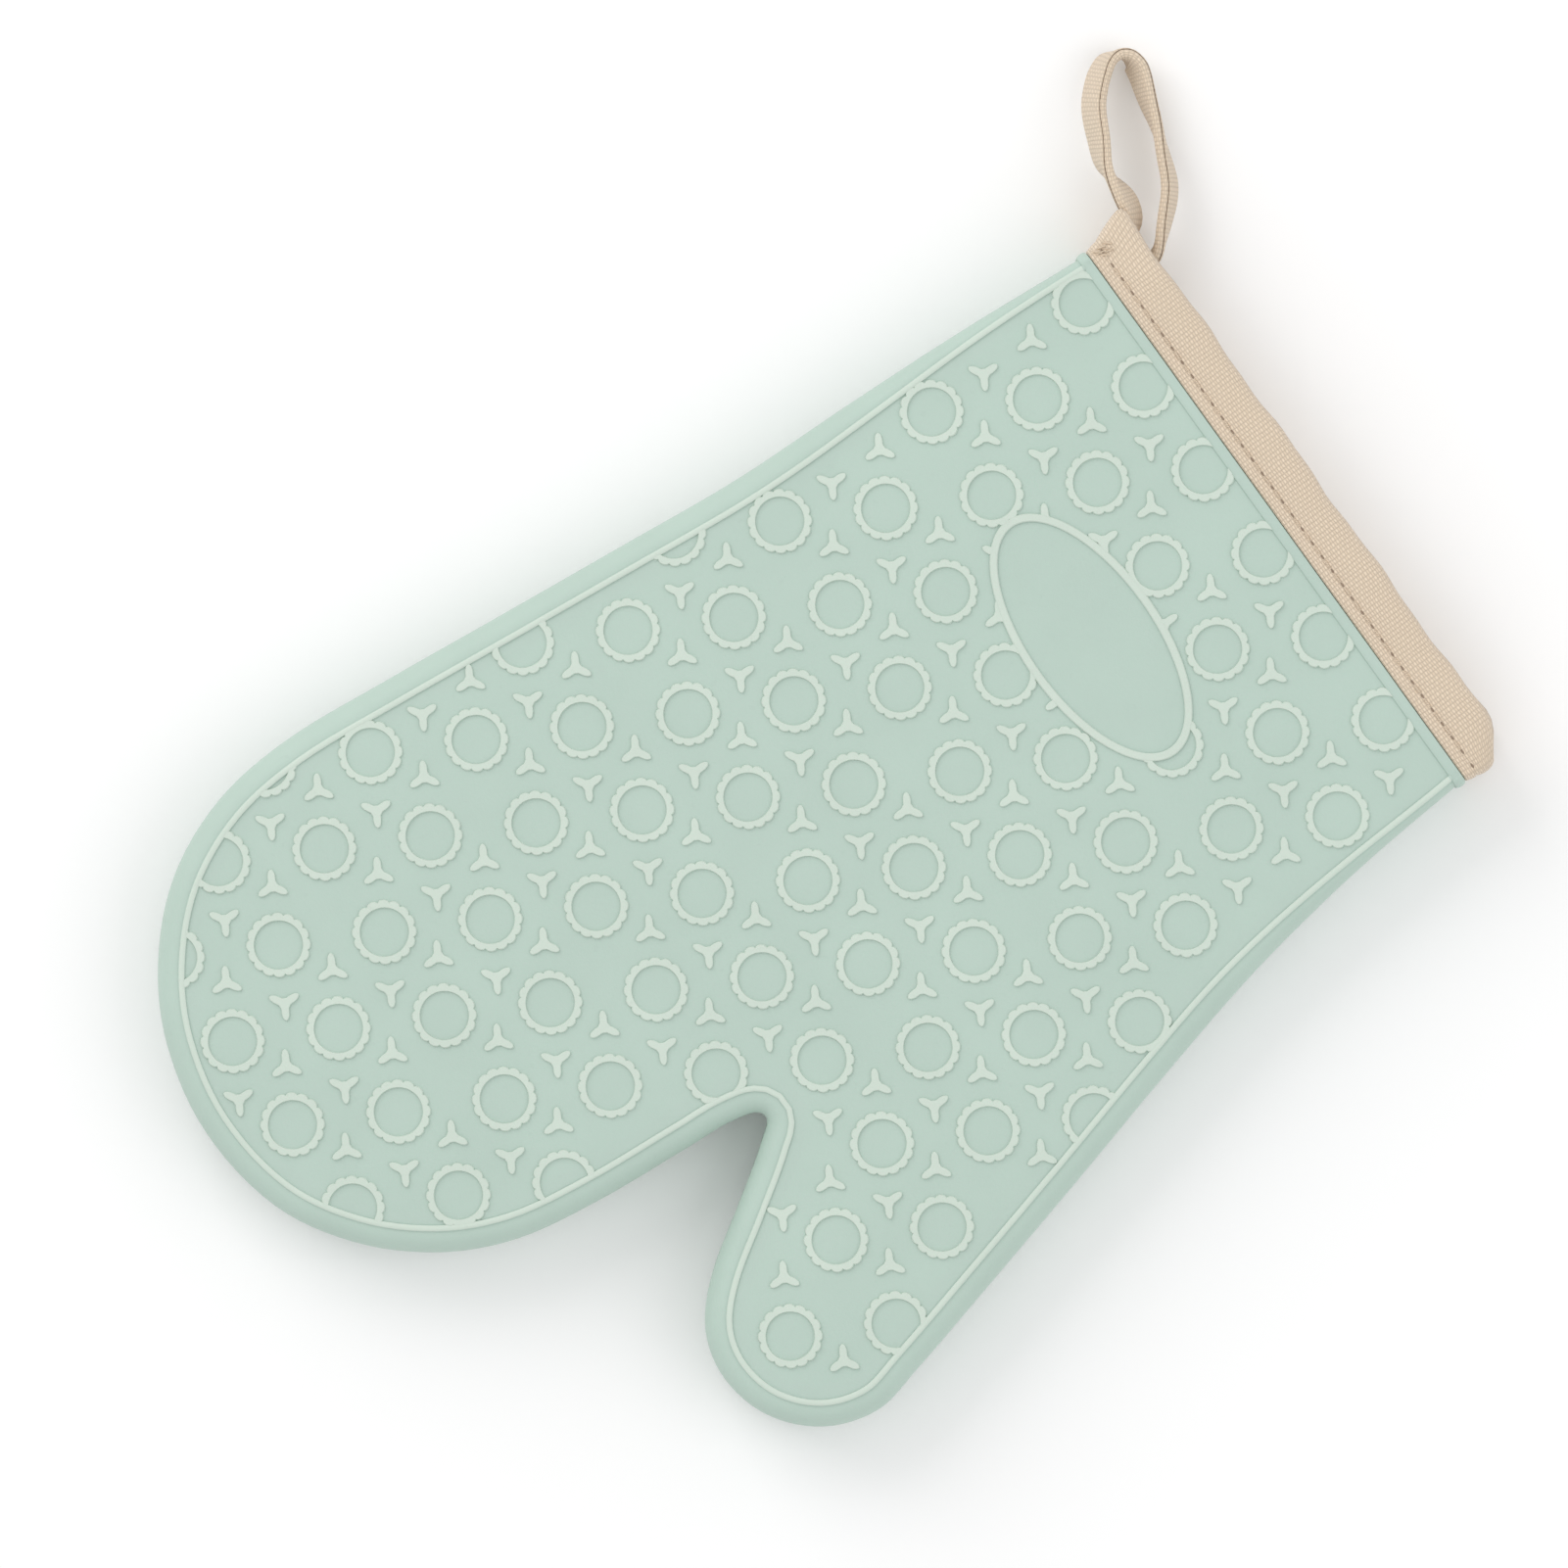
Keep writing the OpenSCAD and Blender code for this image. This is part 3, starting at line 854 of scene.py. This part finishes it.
def star_model(sizes):
    """One three-armed star with concave sides and rounded arms"""
    arm, h = sizes.star_arm / MM, sizes.ring_height / MM
    steps = np.linspace(-1, 1, 16, endpoint=False)
    turn = np.concatenate([k * 2 * math.pi / 3 + np.sign(steps) * np.abs(steps) ** ARM_SPREAD
                           * math.pi / 3 for k in range(3)])
    reach = STAR_WAIST + (arm - STAR_WAIST) * np.abs(np.cos(1.5 * turn)) ** 5
    deselect()
    bpy.ops.mesh.primitive_cylinder_add(vertices=len(turn), end_fill_type="NGON")
    obj = named("star_model")
    x, y, z = raw_coords(obj).T
    high = z > 0
    angle_order = np.argsort(np.mod(np.arctan2(y, x), 2 * math.pi)[~high])
    sorted_turn = np.argsort(np.mod(turn, 2 * math.pi))
    a = turn[sorted_turn]
    points = np.empty((len(high), 3))
    for level, flare, height in ((False, 0.08, GRIP_FOOT), (True, 0.0, h)):
        index = np.flatnonzero(high == level)[angle_order]
        radius = reach[sorted_turn] + flare
        points[index] = np.column_stack([radius * np.cos(a), radius * np.sin(a),
                                         np.full(len(a), height)])
    put_coords(obj, points + ORIGIN)
    edit(obj, "EDGE")
    bpy.ops.mesh.select_all(action="DESELECT")
    done()
    z = coords_of(obj)[:, 2]
    for e in obj.data.edges:
        e.select = all(z[i] > h - 0.01 for i in e.vertices)
    bpy.ops.object.mode_set(mode="EDIT")
    bpy.ops.mesh.bevel(offset=STAR_BEVEL * MM, segments=1)
    done()
    return outward(obj)


INSIDE_OVAL = 0.55       # a shape this far inside the oval is left out
OVAL_GAP = 0.3           # a shape nearer the oval than this is cut by its rim
RING_REACH, RING_ROOM = 7.3, 0.0
STAR_REACH, STAR_ROOM = 4.6, 3.8
CUTTER_Z = (FIELD_Z - 2, FIELD_Z + 3)
UNCUT = 1e4              # a cell wider than any plan, which leaves a slab in one piece


def oval_level(xy, grow=0.0):
    """Below 1 inside the oval grown by that much, above 1 outside"""
    d = (np.asarray(xy, float) - OVAL_AT) / (np.array(OVAL_HALF) + grow)
    return (d ** 2).sum(-1)


def sort_places(places, reach, least_room, with_oval):
    """Places whose shape is whole, and places that a raised line cuts"""
    whole, crossed = [], []
    for place in places:
        xy, x = place[:2], place[0]
        if x < -reach or not inside_outline(xy):
            continue
        room = depth_inside([xy])[0] - SIDE_R * roll_share(x) - BEAD_W / 2
        if room < least_room and xy not in PAST_BEAD or xy in LEFT_OUT:
            continue
        if with_oval and oval_level(xy, -reach) < 1 and oval_level(xy) < INSIDE_OVAL:
            continue
        near_oval = with_oval and oval_level(xy, reach + OVAL_GAP) < 1
        (crossed if room < reach or x < reach or near_oval else whole).append(place)
    return whole, crossed


def inside_outline(p):
    """Whether a point lies inside the silhouette"""
    a, b = EDGE, np.roll(EDGE, -1, axis=0)
    hit = (a[:, 1] > p[1]) != (b[:, 1] > p[1])
    x = a[:, 0] + (p[1] - a[:, 1]) * (b[:, 0] - a[:, 0]) / np.where(hit, b[:, 1] - a[:, 1], 1)
    return bool((hit & (p[0] < x)).sum() % 2)


def face_pattern(name, sizes, with_oval):
    """Rings and stars of one face, cut off by the bead, the rib and any oval's rim"""
    rings, stars = grid_places()
    ring, star = ring_model(sizes), star_model(sizes)
    parts, cut_parts = [], []
    for model, places, reach, least_room in ((ring, rings, RING_REACH, RING_ROOM),
                                             (star, stars, STAR_REACH, STAR_ROOM)):
        whole, crossed = sort_places(places, reach, least_room, with_oval)
        for found, into in ((whole, parts), (crossed, cut_parts)):
            into.append(placed_copies(model.name + "_set", model,
                                      [(x, y, t, FIELD_Z) for x, y, t in found]))
    edge = join("cut_shapes", cut_parts)
    field = slab("field_cutter", inset_line(BEAD_W / 2, SIDE_R, PLAN_STEPS, -0.2), *CUTTER_Z,
                 UNCUT)
    cut(edge, field, "INTERSECT")
    remove(field)
    if with_oval:
        inside = slab("oval_cutter", oval_line(-0.9), *CUTTER_Z, UNCUT)
        cut(edge, inside, "DIFFERENCE")
        remove(inside)
    for model in (ring, star):
        remove(model)
    return join(name, [*parts, edge])


class MITT_OT_grip(bpy.types.Operator):
    """Make the grip pattern of scalloped rings and stars on both faces"""
    bl_idname = "mitt.grip"
    bl_label = "Grip pattern"

    def execute(self, context):
        sizes, colours = context.scene.mitt_sizes, context.scene.mitt_colours
        # The rings and stars take the paler silicone, painted light on their tops
        material = silicone_material("raised_silicone_painted_light", colours.raised)
        front = face_pattern("grip_front", sizes, True)
        back = mirrored(face_pattern("grip_back_model", sizes, False), "grip_back")
        remove(bpy.data.objects["grip_back_model"])
        rise(front, lambda co: crown(co[:, :2], sizes))
        for piece in (front, back):
            finish_piece(piece, "mitt", "silicone", material, degrees=40)
        return {"FINISHED"}


# ---------------------------------------------------------------- lining
PLY_R = 3.0              # outer radius of a ply's rolled side
PLY_LAP = 5              # the side's flange reaches this far past its roll
PLY_CELL = 8.0
QUILT_STITCH = 4.0       # spacing of the quilting stitches
QUILT_STITCH_SIZE = (3.1, 0.5)


def quilt_lift(x, pinch):
    """How far the quilting pulls a cloth towards the silicone, at its place along the hand"""
    wave = np.abs(np.sin(math.pi * (x - QUILT_X0) / QUILT_PITCH))
    return pinch * (1 - wave) ** 2 * smooth01((x + 1) / 10)


def lining_ply(name, side, thick, z_out, pinch_out, pinch_in):
    """One ply of the upper panel: its rolled side and its flat, each closed"""
    p, n = outline(PLAN_STEPS)
    p = np.concatenate([[(LINING_X0, p[0, 1])], p, [(LINING_X0, p[-1, 1])]])
    n = np.concatenate([n[:1], n, n[-1:]])
    foot = Z_MID + 0.02
    turn = np.linspace(0, math.pi / 2, 5)

    def face(inset, r):
        """One face of the side, that far inside the outer one"""
        bend = [(inset + r * (1 - math.cos(a)), z_out - inset - r * (1 - math.sin(a)))
                for a in turn]
        return [(inset, foot), *bend, (PLY_R + PLY_LAP, z_out - inset)]

    section = np.array(face(0, PLY_R) + face(thick, max(PLY_R - thick, 0.4))[::-1])
    xy = p[:, None, :] + n[:, None, :] * (side + section[None, :, 0])[..., None]
    z = np.broadcast_to(section[None, :, 1], xy.shape[:2])
    band = tube("ply_side", np.concatenate([xy, z[..., None]], axis=2))
    plan = inset_line(side + PLY_R + 3.5, 0, PLAN_STEPS, LINING_X0)
    flat = slab("ply_flat", plan, z_out - thick, z_out, PLY_CELL)
    ply = join(name, [band, flat])
    middle = z_out - thick / 2

    def lift(co):
        share = smooth01((co[:, 2] - (z_out - PLY_R - 1)) / PLY_R)
        pinch = np.where(co[:, 2] > middle, pinch_out, pinch_in)
        return quilt_lift(co[:, 0], 1.0) * pinch * share
    rise(ply, lift)
    return ply


class MITT_OT_lining(bpy.types.Operator):
    """Make both quilted panels of the lining bag: backing, wadding and facing"""
    bl_idname = "mitt.lining"
    bl_label = "Quilted lining"

    def execute(self, context):
        sizes, colours = context.scene.mitt_sizes, context.scene.mitt_colours
        pinch = sizes.quilt_pinch / MM
        cotton = cotton_material("lining_cotton", colours.cotton)
        fibre = cotton_material("wadding_fibre", tinted(colours.cotton, 1.15), 0.8)
        side = SIDE_R + PLY_GAP
        z = FIELD_Z - WALL - PLY_GAP
        plies = (("lining_backing", side, CLOTH_T, 0.0, 0.0, cotton),
                 ("lining_wadding", side + CLOTH_T, WADDING_T, 0.0, pinch, fibre),
                 ("lining_facing", side + CLOTH_T + WADDING_T, CLOTH_T, pinch, pinch, cotton))
        for name, inset, thick, out_pinch, in_pinch, material in plies:
            front = lining_ply("front_" + name + "_ply", inset, thick, z, out_pinch, in_pinch)
            back = mirrored(front, "back_" + name + "_ply")
            z -= thick
            for piece, face in ((front, "front_"), (back, "back_")):
                finish_piece(piece, "mitt", "wadding" if thick > 1 else "lining_cloth",
                             material, face + name)
        return {"FINISHED"}


def stitch_model(name, length, width):
    """One stitch: a short rounded thread lying along Y"""
    deselect()
    bpy.ops.mesh.primitive_uv_sphere_add(segments=8, ring_count=6, radius=0.5)
    obj = named(name)
    put_coords(obj, raw_coords(obj) * (width, length, width) + ORIGIN)
    return obj


class MITT_OT_quilting(bpy.types.Operator):
    """Sew the rows of quilting stitches on both panels, and finish the lining's side seam"""
    bl_idname = "mitt.quilting"
    bl_label = "Quilting stitches"

    def execute(self, context):
        sizes, colours = context.scene.mitt_sizes, context.scene.mitt_colours
        thread = thread_material("lining_thread", tinted(colours.cotton, 1.12))
        facing_z = FIELD_Z - WALL - PLY_GAP - 2 * CLOTH_T - WADDING_T
        lining_depth = SIDE_R + PLY_GAP + 2 * CLOTH_T + WADDING_T
        places = []
        for x in np.arange(QUILT_X0, FINGERTIP_X - lining_depth - 4, QUILT_PITCH):
            z = facing_z + sizes.quilt_pinch / MM * float(smooth01((x + 1) / 10)) - 0.05
            rows = [(x, y) for y in np.arange(-95, 108, QUILT_STITCH) if inside_outline((x, y))]
            deep = depth_inside(rows) > lining_depth + 3.2
            places += [(px, py, 0.0, z) for (px, py), ok in zip(rows, deep) if ok]
        model = stitch_model("stitch", *QUILT_STITCH_SIZE)
        front = placed_copies("front_quilting_stitches", model, places)
        remove(model)
        back = mirrored(front, "back_quilting_stitches")
        finish_piece(front, "mitt", "lining_thread", thread, "front_quilting_thread")
        finish_piece(back, "mitt", "lining_thread", thread, "back_quilting_thread")
        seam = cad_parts["lining_seam_thread"]
        seam.data.materials.clear()
        seam.data.materials.append(thread)
        return {"FINISHED"}


# ---------------------------------------------------------------- cuff binding
BINDING_PROFILE = [
    (BIND_X1, 0.35, 0.35), (-2.65, -0.1, -0.1), (-3.0, -0.38, -0.4), (-4.2, -0.5, -0.55),
    (-5.1, -0.42, -0.4), (STITCH_X, -0.25, -0.18), (-6.2, -0.42, -0.42), (-7.6, -0.6, -0.68),
    (-9.5, -0.62, -0.75), (-11.5, -0.5, -0.65), (-13.2, -0.15, -0.25), (-14.2, 0.6, 0.5),
    (-14.65, 1.8, 1.4), (BIND_X0, 4.2, 3.0), (-14.65, 6.9, 4.7), (-14.2, 8.6, 5.9),
    (-13.2, 9.7, 6.7), (-11, 10.2, 7.2), (-7.6, 10.3, 7.2), (STITCH_X, 9.9, 6.8),
    (-4.2, 10.2, 7.1), (-2.8, 9.9, 6.8), (BIND_X1, 9.1, 6.1), (-8, 9.0, 6.0), (-13.0, 8.8, 5.8),
    (-13.5, 6.8, 4.6), (-13.6, 4.2, 3.0), (-13.5, 1.9, 1.6), (-12.9, 0.95, 0.9), (-8, 0.95, 0.9)]


def shape_binding(co):
    """Corners of the tape: flared where the loop is sewn in, rounded and full at the other end"""
    x, y, z = co.T
    out = np.clip((BIND_X1 - x) / (BIND_X1 - BIND_X0), 0, 1)
    loop_end = smooth01((-y - 58) / 14)
    free_end = smooth01((y - 60) / 12)
    co = co.copy()
    co[:, 1] -= 4.6 * loop_end * out ** 1.3
    co[:, 0] -= 0.5 * loop_end * out
    co[:, 2] = Z_MID + (z - Z_MID) * (1 - 0.34 * loop_end * out) * (1 - 0.18 * free_end * out)
    co[:, 0] += 3.7 * smooth01((y - 65) / 8) * out ** 2
    co[:, 1] += 0.7 * free_end * np.sin(out * math.pi)
    co[:, 0] -= 0.55 * np.exp(-((y - 62.5) / 3.2) ** 2) * out
    co[:, 0] += 0.28 * np.sin(y / 5.3 + 0.6) * out + 0.14 * np.sin(y / 2.1) * out
    co[:, 2] += 0.16 * np.sin(y / 6.1 + x / 4.0) * np.sign(z - Z_MID)
    return co


class MITT_OT_binding(bpy.types.Operator):
    """Make the canvas tape folded over the cuff's edge"""
    bl_idname = "mitt.binding"
    bl_label = "Cuff binding"

    def execute(self, context):
        colours = context.scene.mitt_colours
        tape = mouth_tube("binding_tape", BINDING_PROFILE, 9, 54)
        put_coords(tape, shape_binding(coords_of(tape)))
        material = canvas_material("canvas_tape", colours.canvas, TAPE_THREADS, holes=True)
        finish_piece(tape, "mitt", "canvas", material, "cuff_binding", degrees=60)
        return {"FINISHED"}


def on_surface(points, x, y, turn):
    """A copy's place on the highest point near (x, y), sunk by a third of the thread"""
    near = np.hypot(points[:, 0] - x, points[:, 1] - y) < 1.4
    return x, y, turn, float(points[near, 2].max()) + 0.08


class MITT_OT_cuff_stitches(bpy.types.Operator):
    """Sew the binding's stitch row on both faces, and the bar-tack at the loop's corner"""
    bl_idname = "mitt.cuff_stitches"
    bl_label = "Cuff stitches"

    def execute(self, context):
        colours = context.scene.mitt_colours
        thread = thread_material("canvas_thread", tinted(colours.canvas, 0.9))
        tape = coords_of(bpy.data.objects["binding_tape"])
        count = int((HALF_CUFF - 7) / STITCH_PITCH)
        model = stitch_model("stitch", STITCH_PITCH * 0.66, 0.42)
        rows = [on_surface(tape, STITCH_X, k * STITCH_PITCH, 0.06 * math.sin(k * 2.4))
                for k in range(-count, count + 1)]
        upper = placed_copies("binding_stitches", model, rows)
        lower = mirrored(upper, "binding_stitches_back")
        both = join("binding_stitches", [upper, lower])
        finish_piece(both, "mitt", "canvas_thread", thread, "binding_stitching")
        tack = [on_surface(tape, -4.3 - 0.55 * k, -71.2 + 0.8 * (k % 3), 0.9 + 0.5 * (k % 2))
                for k in range(7)]
        bar = placed_copies("loop_bar_tack", model, tack)
        remove(model)
        finish_piece(bar, "mitt", "canvas_thread", thread, "loop_bartack")
        return {"FINISHED"}


# ---------------------------------------------------------------- hanging loop
# Tape section as (inwards from the seam, down from the seam); the seam lies in a small groove
TAPE_SECTION = [
    (-0.15, 7.25), (-0.26, 5), (-0.3, 3), (-0.26, 1.2), (-0.12, 0.42), (0.06, 0.1), (0.18, 0.06),
    (0.3, 0.42), (0.42, 0.0), (0.7, -0.2), (1.2, -0.28), (1.7, -0.18), (2.08, 0.15), (2.28, 0.8),
    (2.34, 2.5), (2.28, 5), (2.18, 7.2), (1.6, 7.42), (0.4, 7.42)]
GROOVE = (0.3, 0.16)


TAPE_RINGS = 160
SEAM_RINGS = 260
SEAM_SHOWN = slice(20, 242)   # rings of the seam that stand clear of the binding


def loop_frames(count):
    """Seam places, inward directions and leans at equal steps along the loop"""
    route = np.array(LOOP_SEAM, float)
    ends = np.concatenate([[2 * route[0] - route[1]], route, [2 * route[-1] - route[-2]]])
    line = []
    for i in range(1, len(ends) - 2):
        p0, p1, p2, p3 = ends[i - 1:i + 3]
        for t in np.arange(6) / 6:
            line.append(0.5 * (2 * p1 + (p2 - p0) * t + (2 * p0 - 5 * p1 + 4 * p2 - p3) * t * t
                               + (3 * p1 - p0 - 3 * p2 + p3) * t ** 3))
    line = np.array(line + [route[-1]])
    length = lengths(line[:, :2])
    at = np.linspace(0, length[-1], count)
    line = np.column_stack([np.interp(at, length, line[:, i]) for i in range(4)])
    line[:, :2] += 0.16 * np.column_stack([np.sin(at / 2.3), np.sin(at / 3.1 + 1)])
    heading = np.gradient(line[:, :2], axis=0)
    heading /= np.linalg.norm(heading, axis=1)[:, None]
    inward = np.column_stack([-heading[:, 1], heading[:, 0]])
    if ((line[:, :2] - line[:, :2].mean(0)) * inward).sum() > 0:
        inward = -inward
    return line, inward


def on_tape(line, inward, across, down):
    """Points at (across, down) of the tape's section for every place along it"""
    lean = np.radians(line[:, 3])
    reach = across * np.cos(lean) - down * np.sin(lean)
    drop = down * np.cos(lean) + across * np.sin(lean)
    return np.column_stack([line[:, :2] + inward * reach[:, None], line[:, 2] - drop])


def bend_across_root(obj):
    """Bakes the piece's placing into its mesh"""
    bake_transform(obj)


class MITT_OT_loop(bpy.types.Operator):
    """Make the folded and stitched hanging loop"""
    bl_idname = "mitt.loop"
    bl_label = "Hanging loop"

    def execute(self, context):
        colours = context.scene.mitt_colours
        line, inward = loop_frames(TAPE_RINGS)
        rings = np.stack([on_tape(line, inward, a, h) for a, h in TAPE_SECTION], axis=1)
        tape = tube("loop_tape", rings)
        material = canvas_material("canvas_loop", colours.canvas, LOOP_THREADS)
        finish_piece(tape, None, "canvas", material, "hanging_loop", degrees=60)
        bend_across_root(tape)
        return {"FINISHED"}


class MITT_OT_loop_stitches(bpy.types.Operator):
    """Sew the dark seam in the groove along the loop's edge"""
    bl_idname = "mitt.loop_stitches"
    bl_label = "Loop seam"

    def execute(self, context):
        colours = context.scene.mitt_colours
        line, inward = loop_frames(SEAM_RINGS)
        turn = np.linspace(0, 2 * math.pi, 8, endpoint=False)
        rings = np.stack([on_tape(line, inward, GROOVE[0] + 0.17 * math.cos(a),
                                  GROOVE[1] + 0.15 * math.sin(a)) for a in turn], axis=1)
        rings[..., 2] -= 0.12 * np.abs(np.sin(np.arange(len(line)) * math.pi / 7))[:, None]
        seam = tube("loop_seam_thread", rings[SEAM_SHOWN])
        material = thread_material("dark_thread", colours.thread)
        finish_piece(seam, None, "canvas_thread", material, "loop_stitching", degrees=60)
        bend_across_root(seam)
        return {"FINISHED"}


# ---------------------------------------------------------------- stage
VIEW_CENTRE = (120.8, -15.6, 24.0)   # hand-frame place in the middle of the view
VIEW_WIDTH = 348.0
VIEW_DISTANCE = 4.0
VIEW_RIGHT = (-0.8117, 0.5839, 0.0)
VIEW_UP = (-0.5839, -0.8117, 0.0)
FLOOR_SIZE = 8
FLOOR_DROP = 0.0004      # the floor lies this far under the mitt, in metres
SENSOR = 36.0            # camera sensor, in millimetres
# Each light: place along the view's right, its up and the height, then size, energy and colour
LIGHTS = {"key_light": ((-1.1, 1.2, 1.25), 1.5, 15, (1.0, 0.99, 0.98)),
          "fill_light": ((1.3, -0.4, 1.6), 1.6, 8, (0.98, 0.99, 1.0))}
AIR_COLOUR = (1, 1, 1, 1)
AIR_STRENGTH = 0.80
PAPER = ((0.93, 0.93, 0.93, 1), (0.95, 0.95, 0.95, 1))


def area_light(name, place, size, energy, colour):
    """A square light that faces the origin"""
    light = bpy.data.lights.new(name, "AREA")
    light.shape, light.size, light.energy, light.color = "SQUARE", size, energy, colour
    obj = bpy.data.objects.new(name, light)
    bpy.context.scene.collection.objects.link(obj)
    obj.location = place
    obj.rotation_euler = (-Vector(place)).to_track_quat("-Z", "Y").to_euler()
    return obj


class MITT_OT_stage(bpy.types.Operator):
    """Make the floor, the soft studio lights and the camera straight above"""
    bl_idname = "mitt.stage"
    bl_label = "Stage"

    def execute(self, context):
        deselect()
        bpy.ops.mesh.primitive_plane_add(size=FLOOR_SIZE, location=(0, 0, -FLOOR_DROP))
        floor = named("studio_floor")
        s = Shade("studio_paper", Specular_IOR_Level=0.0)
        tone = s.blend(s.noise(3.0, detail=2.0), *PAPER)
        floor.data.materials.append(s.finish(tone, 0.95))
        right, up = Vector(VIEW_RIGHT), Vector(VIEW_UP)
        for name, ((x, y, z), *light) in LIGHTS.items():
            area_light(name, right * x + up * y + Vector((0, 0, z)), *light)
        world = bpy.data.worlds.new("studio_air")
        world.use_nodes = True
        air = world.node_tree.nodes["Background"].inputs
        air["Color"].default_value = AIR_COLOUR
        air["Strength"].default_value = AIR_STRENGTH
        context.scene.world = world
        camera_data = bpy.data.cameras.new("view")
        camera_data.sensor_width = SENSOR
        camera_data.lens = SENSOR * VIEW_DISTANCE / (VIEW_WIDTH * MM)
        camera_data.clip_end = 50
        camera = bpy.data.objects.new("view", camera_data)
        context.scene.collection.objects.link(camera)
        centre = Vector(to_row(VIEW_CENTRE))
        turn = Matrix((right, up, Vector((0, 0, 1)))).transposed().to_4x4()
        camera.matrix_world = Matrix.Translation(centre + Vector((0, 0, VIEW_DISTANCE))) @ turn
        context.scene.camera = camera
        context.scene.view_settings.view_transform = "Standard"
        context.scene.view_settings.look = "None"
        return {"FINISHED"}


OPERATORS = (MITT_OT_stage, MITT_OT_shell, MITT_OT_grip, MITT_OT_lining, MITT_OT_quilting,
             MITT_OT_binding, MITT_OT_cuff_stitches, MITT_OT_loop, MITT_OT_loop_stitches)


class MITT_PT_panel(bpy.types.Panel):
    """Lists the mitt's pieces"""
    bl_idname = "MITT_PT_panel"
    bl_label = "Oven Mitt"
    bl_space_type = "VIEW_3D"
    bl_region_type = "UI"
    bl_category = "Oven Mitt"

    def draw(self, context):
        for group in (context.scene.mitt_sizes, context.scene.mitt_colours):
            for name in group.__annotations__:
                self.layout.prop(group, name)
        for operator in OPERATORS:
            self.layout.operator(operator.bl_idname)


CLASSES = (MittSizes, MittColours, *OPERATORS, MITT_PT_panel)


def register():
    for cls in CLASSES:
        bpy.utils.register_class(cls)
    bpy.types.Scene.mitt_sizes = PointerProperty(type=MittSizes)
    bpy.types.Scene.mitt_colours = PointerProperty(type=MittColours)


def unregister():
    del bpy.types.Scene.mitt_sizes
    del bpy.types.Scene.mitt_colours
    for cls in reversed(CLASSES):
        bpy.utils.unregister_class(cls)


def main():
    register()
    for operator in OPERATORS:
        group, name = operator.bl_idname.split(".")
        getattr(getattr(bpy.ops, group), name)()


if __name__ == "__main__":
    main()
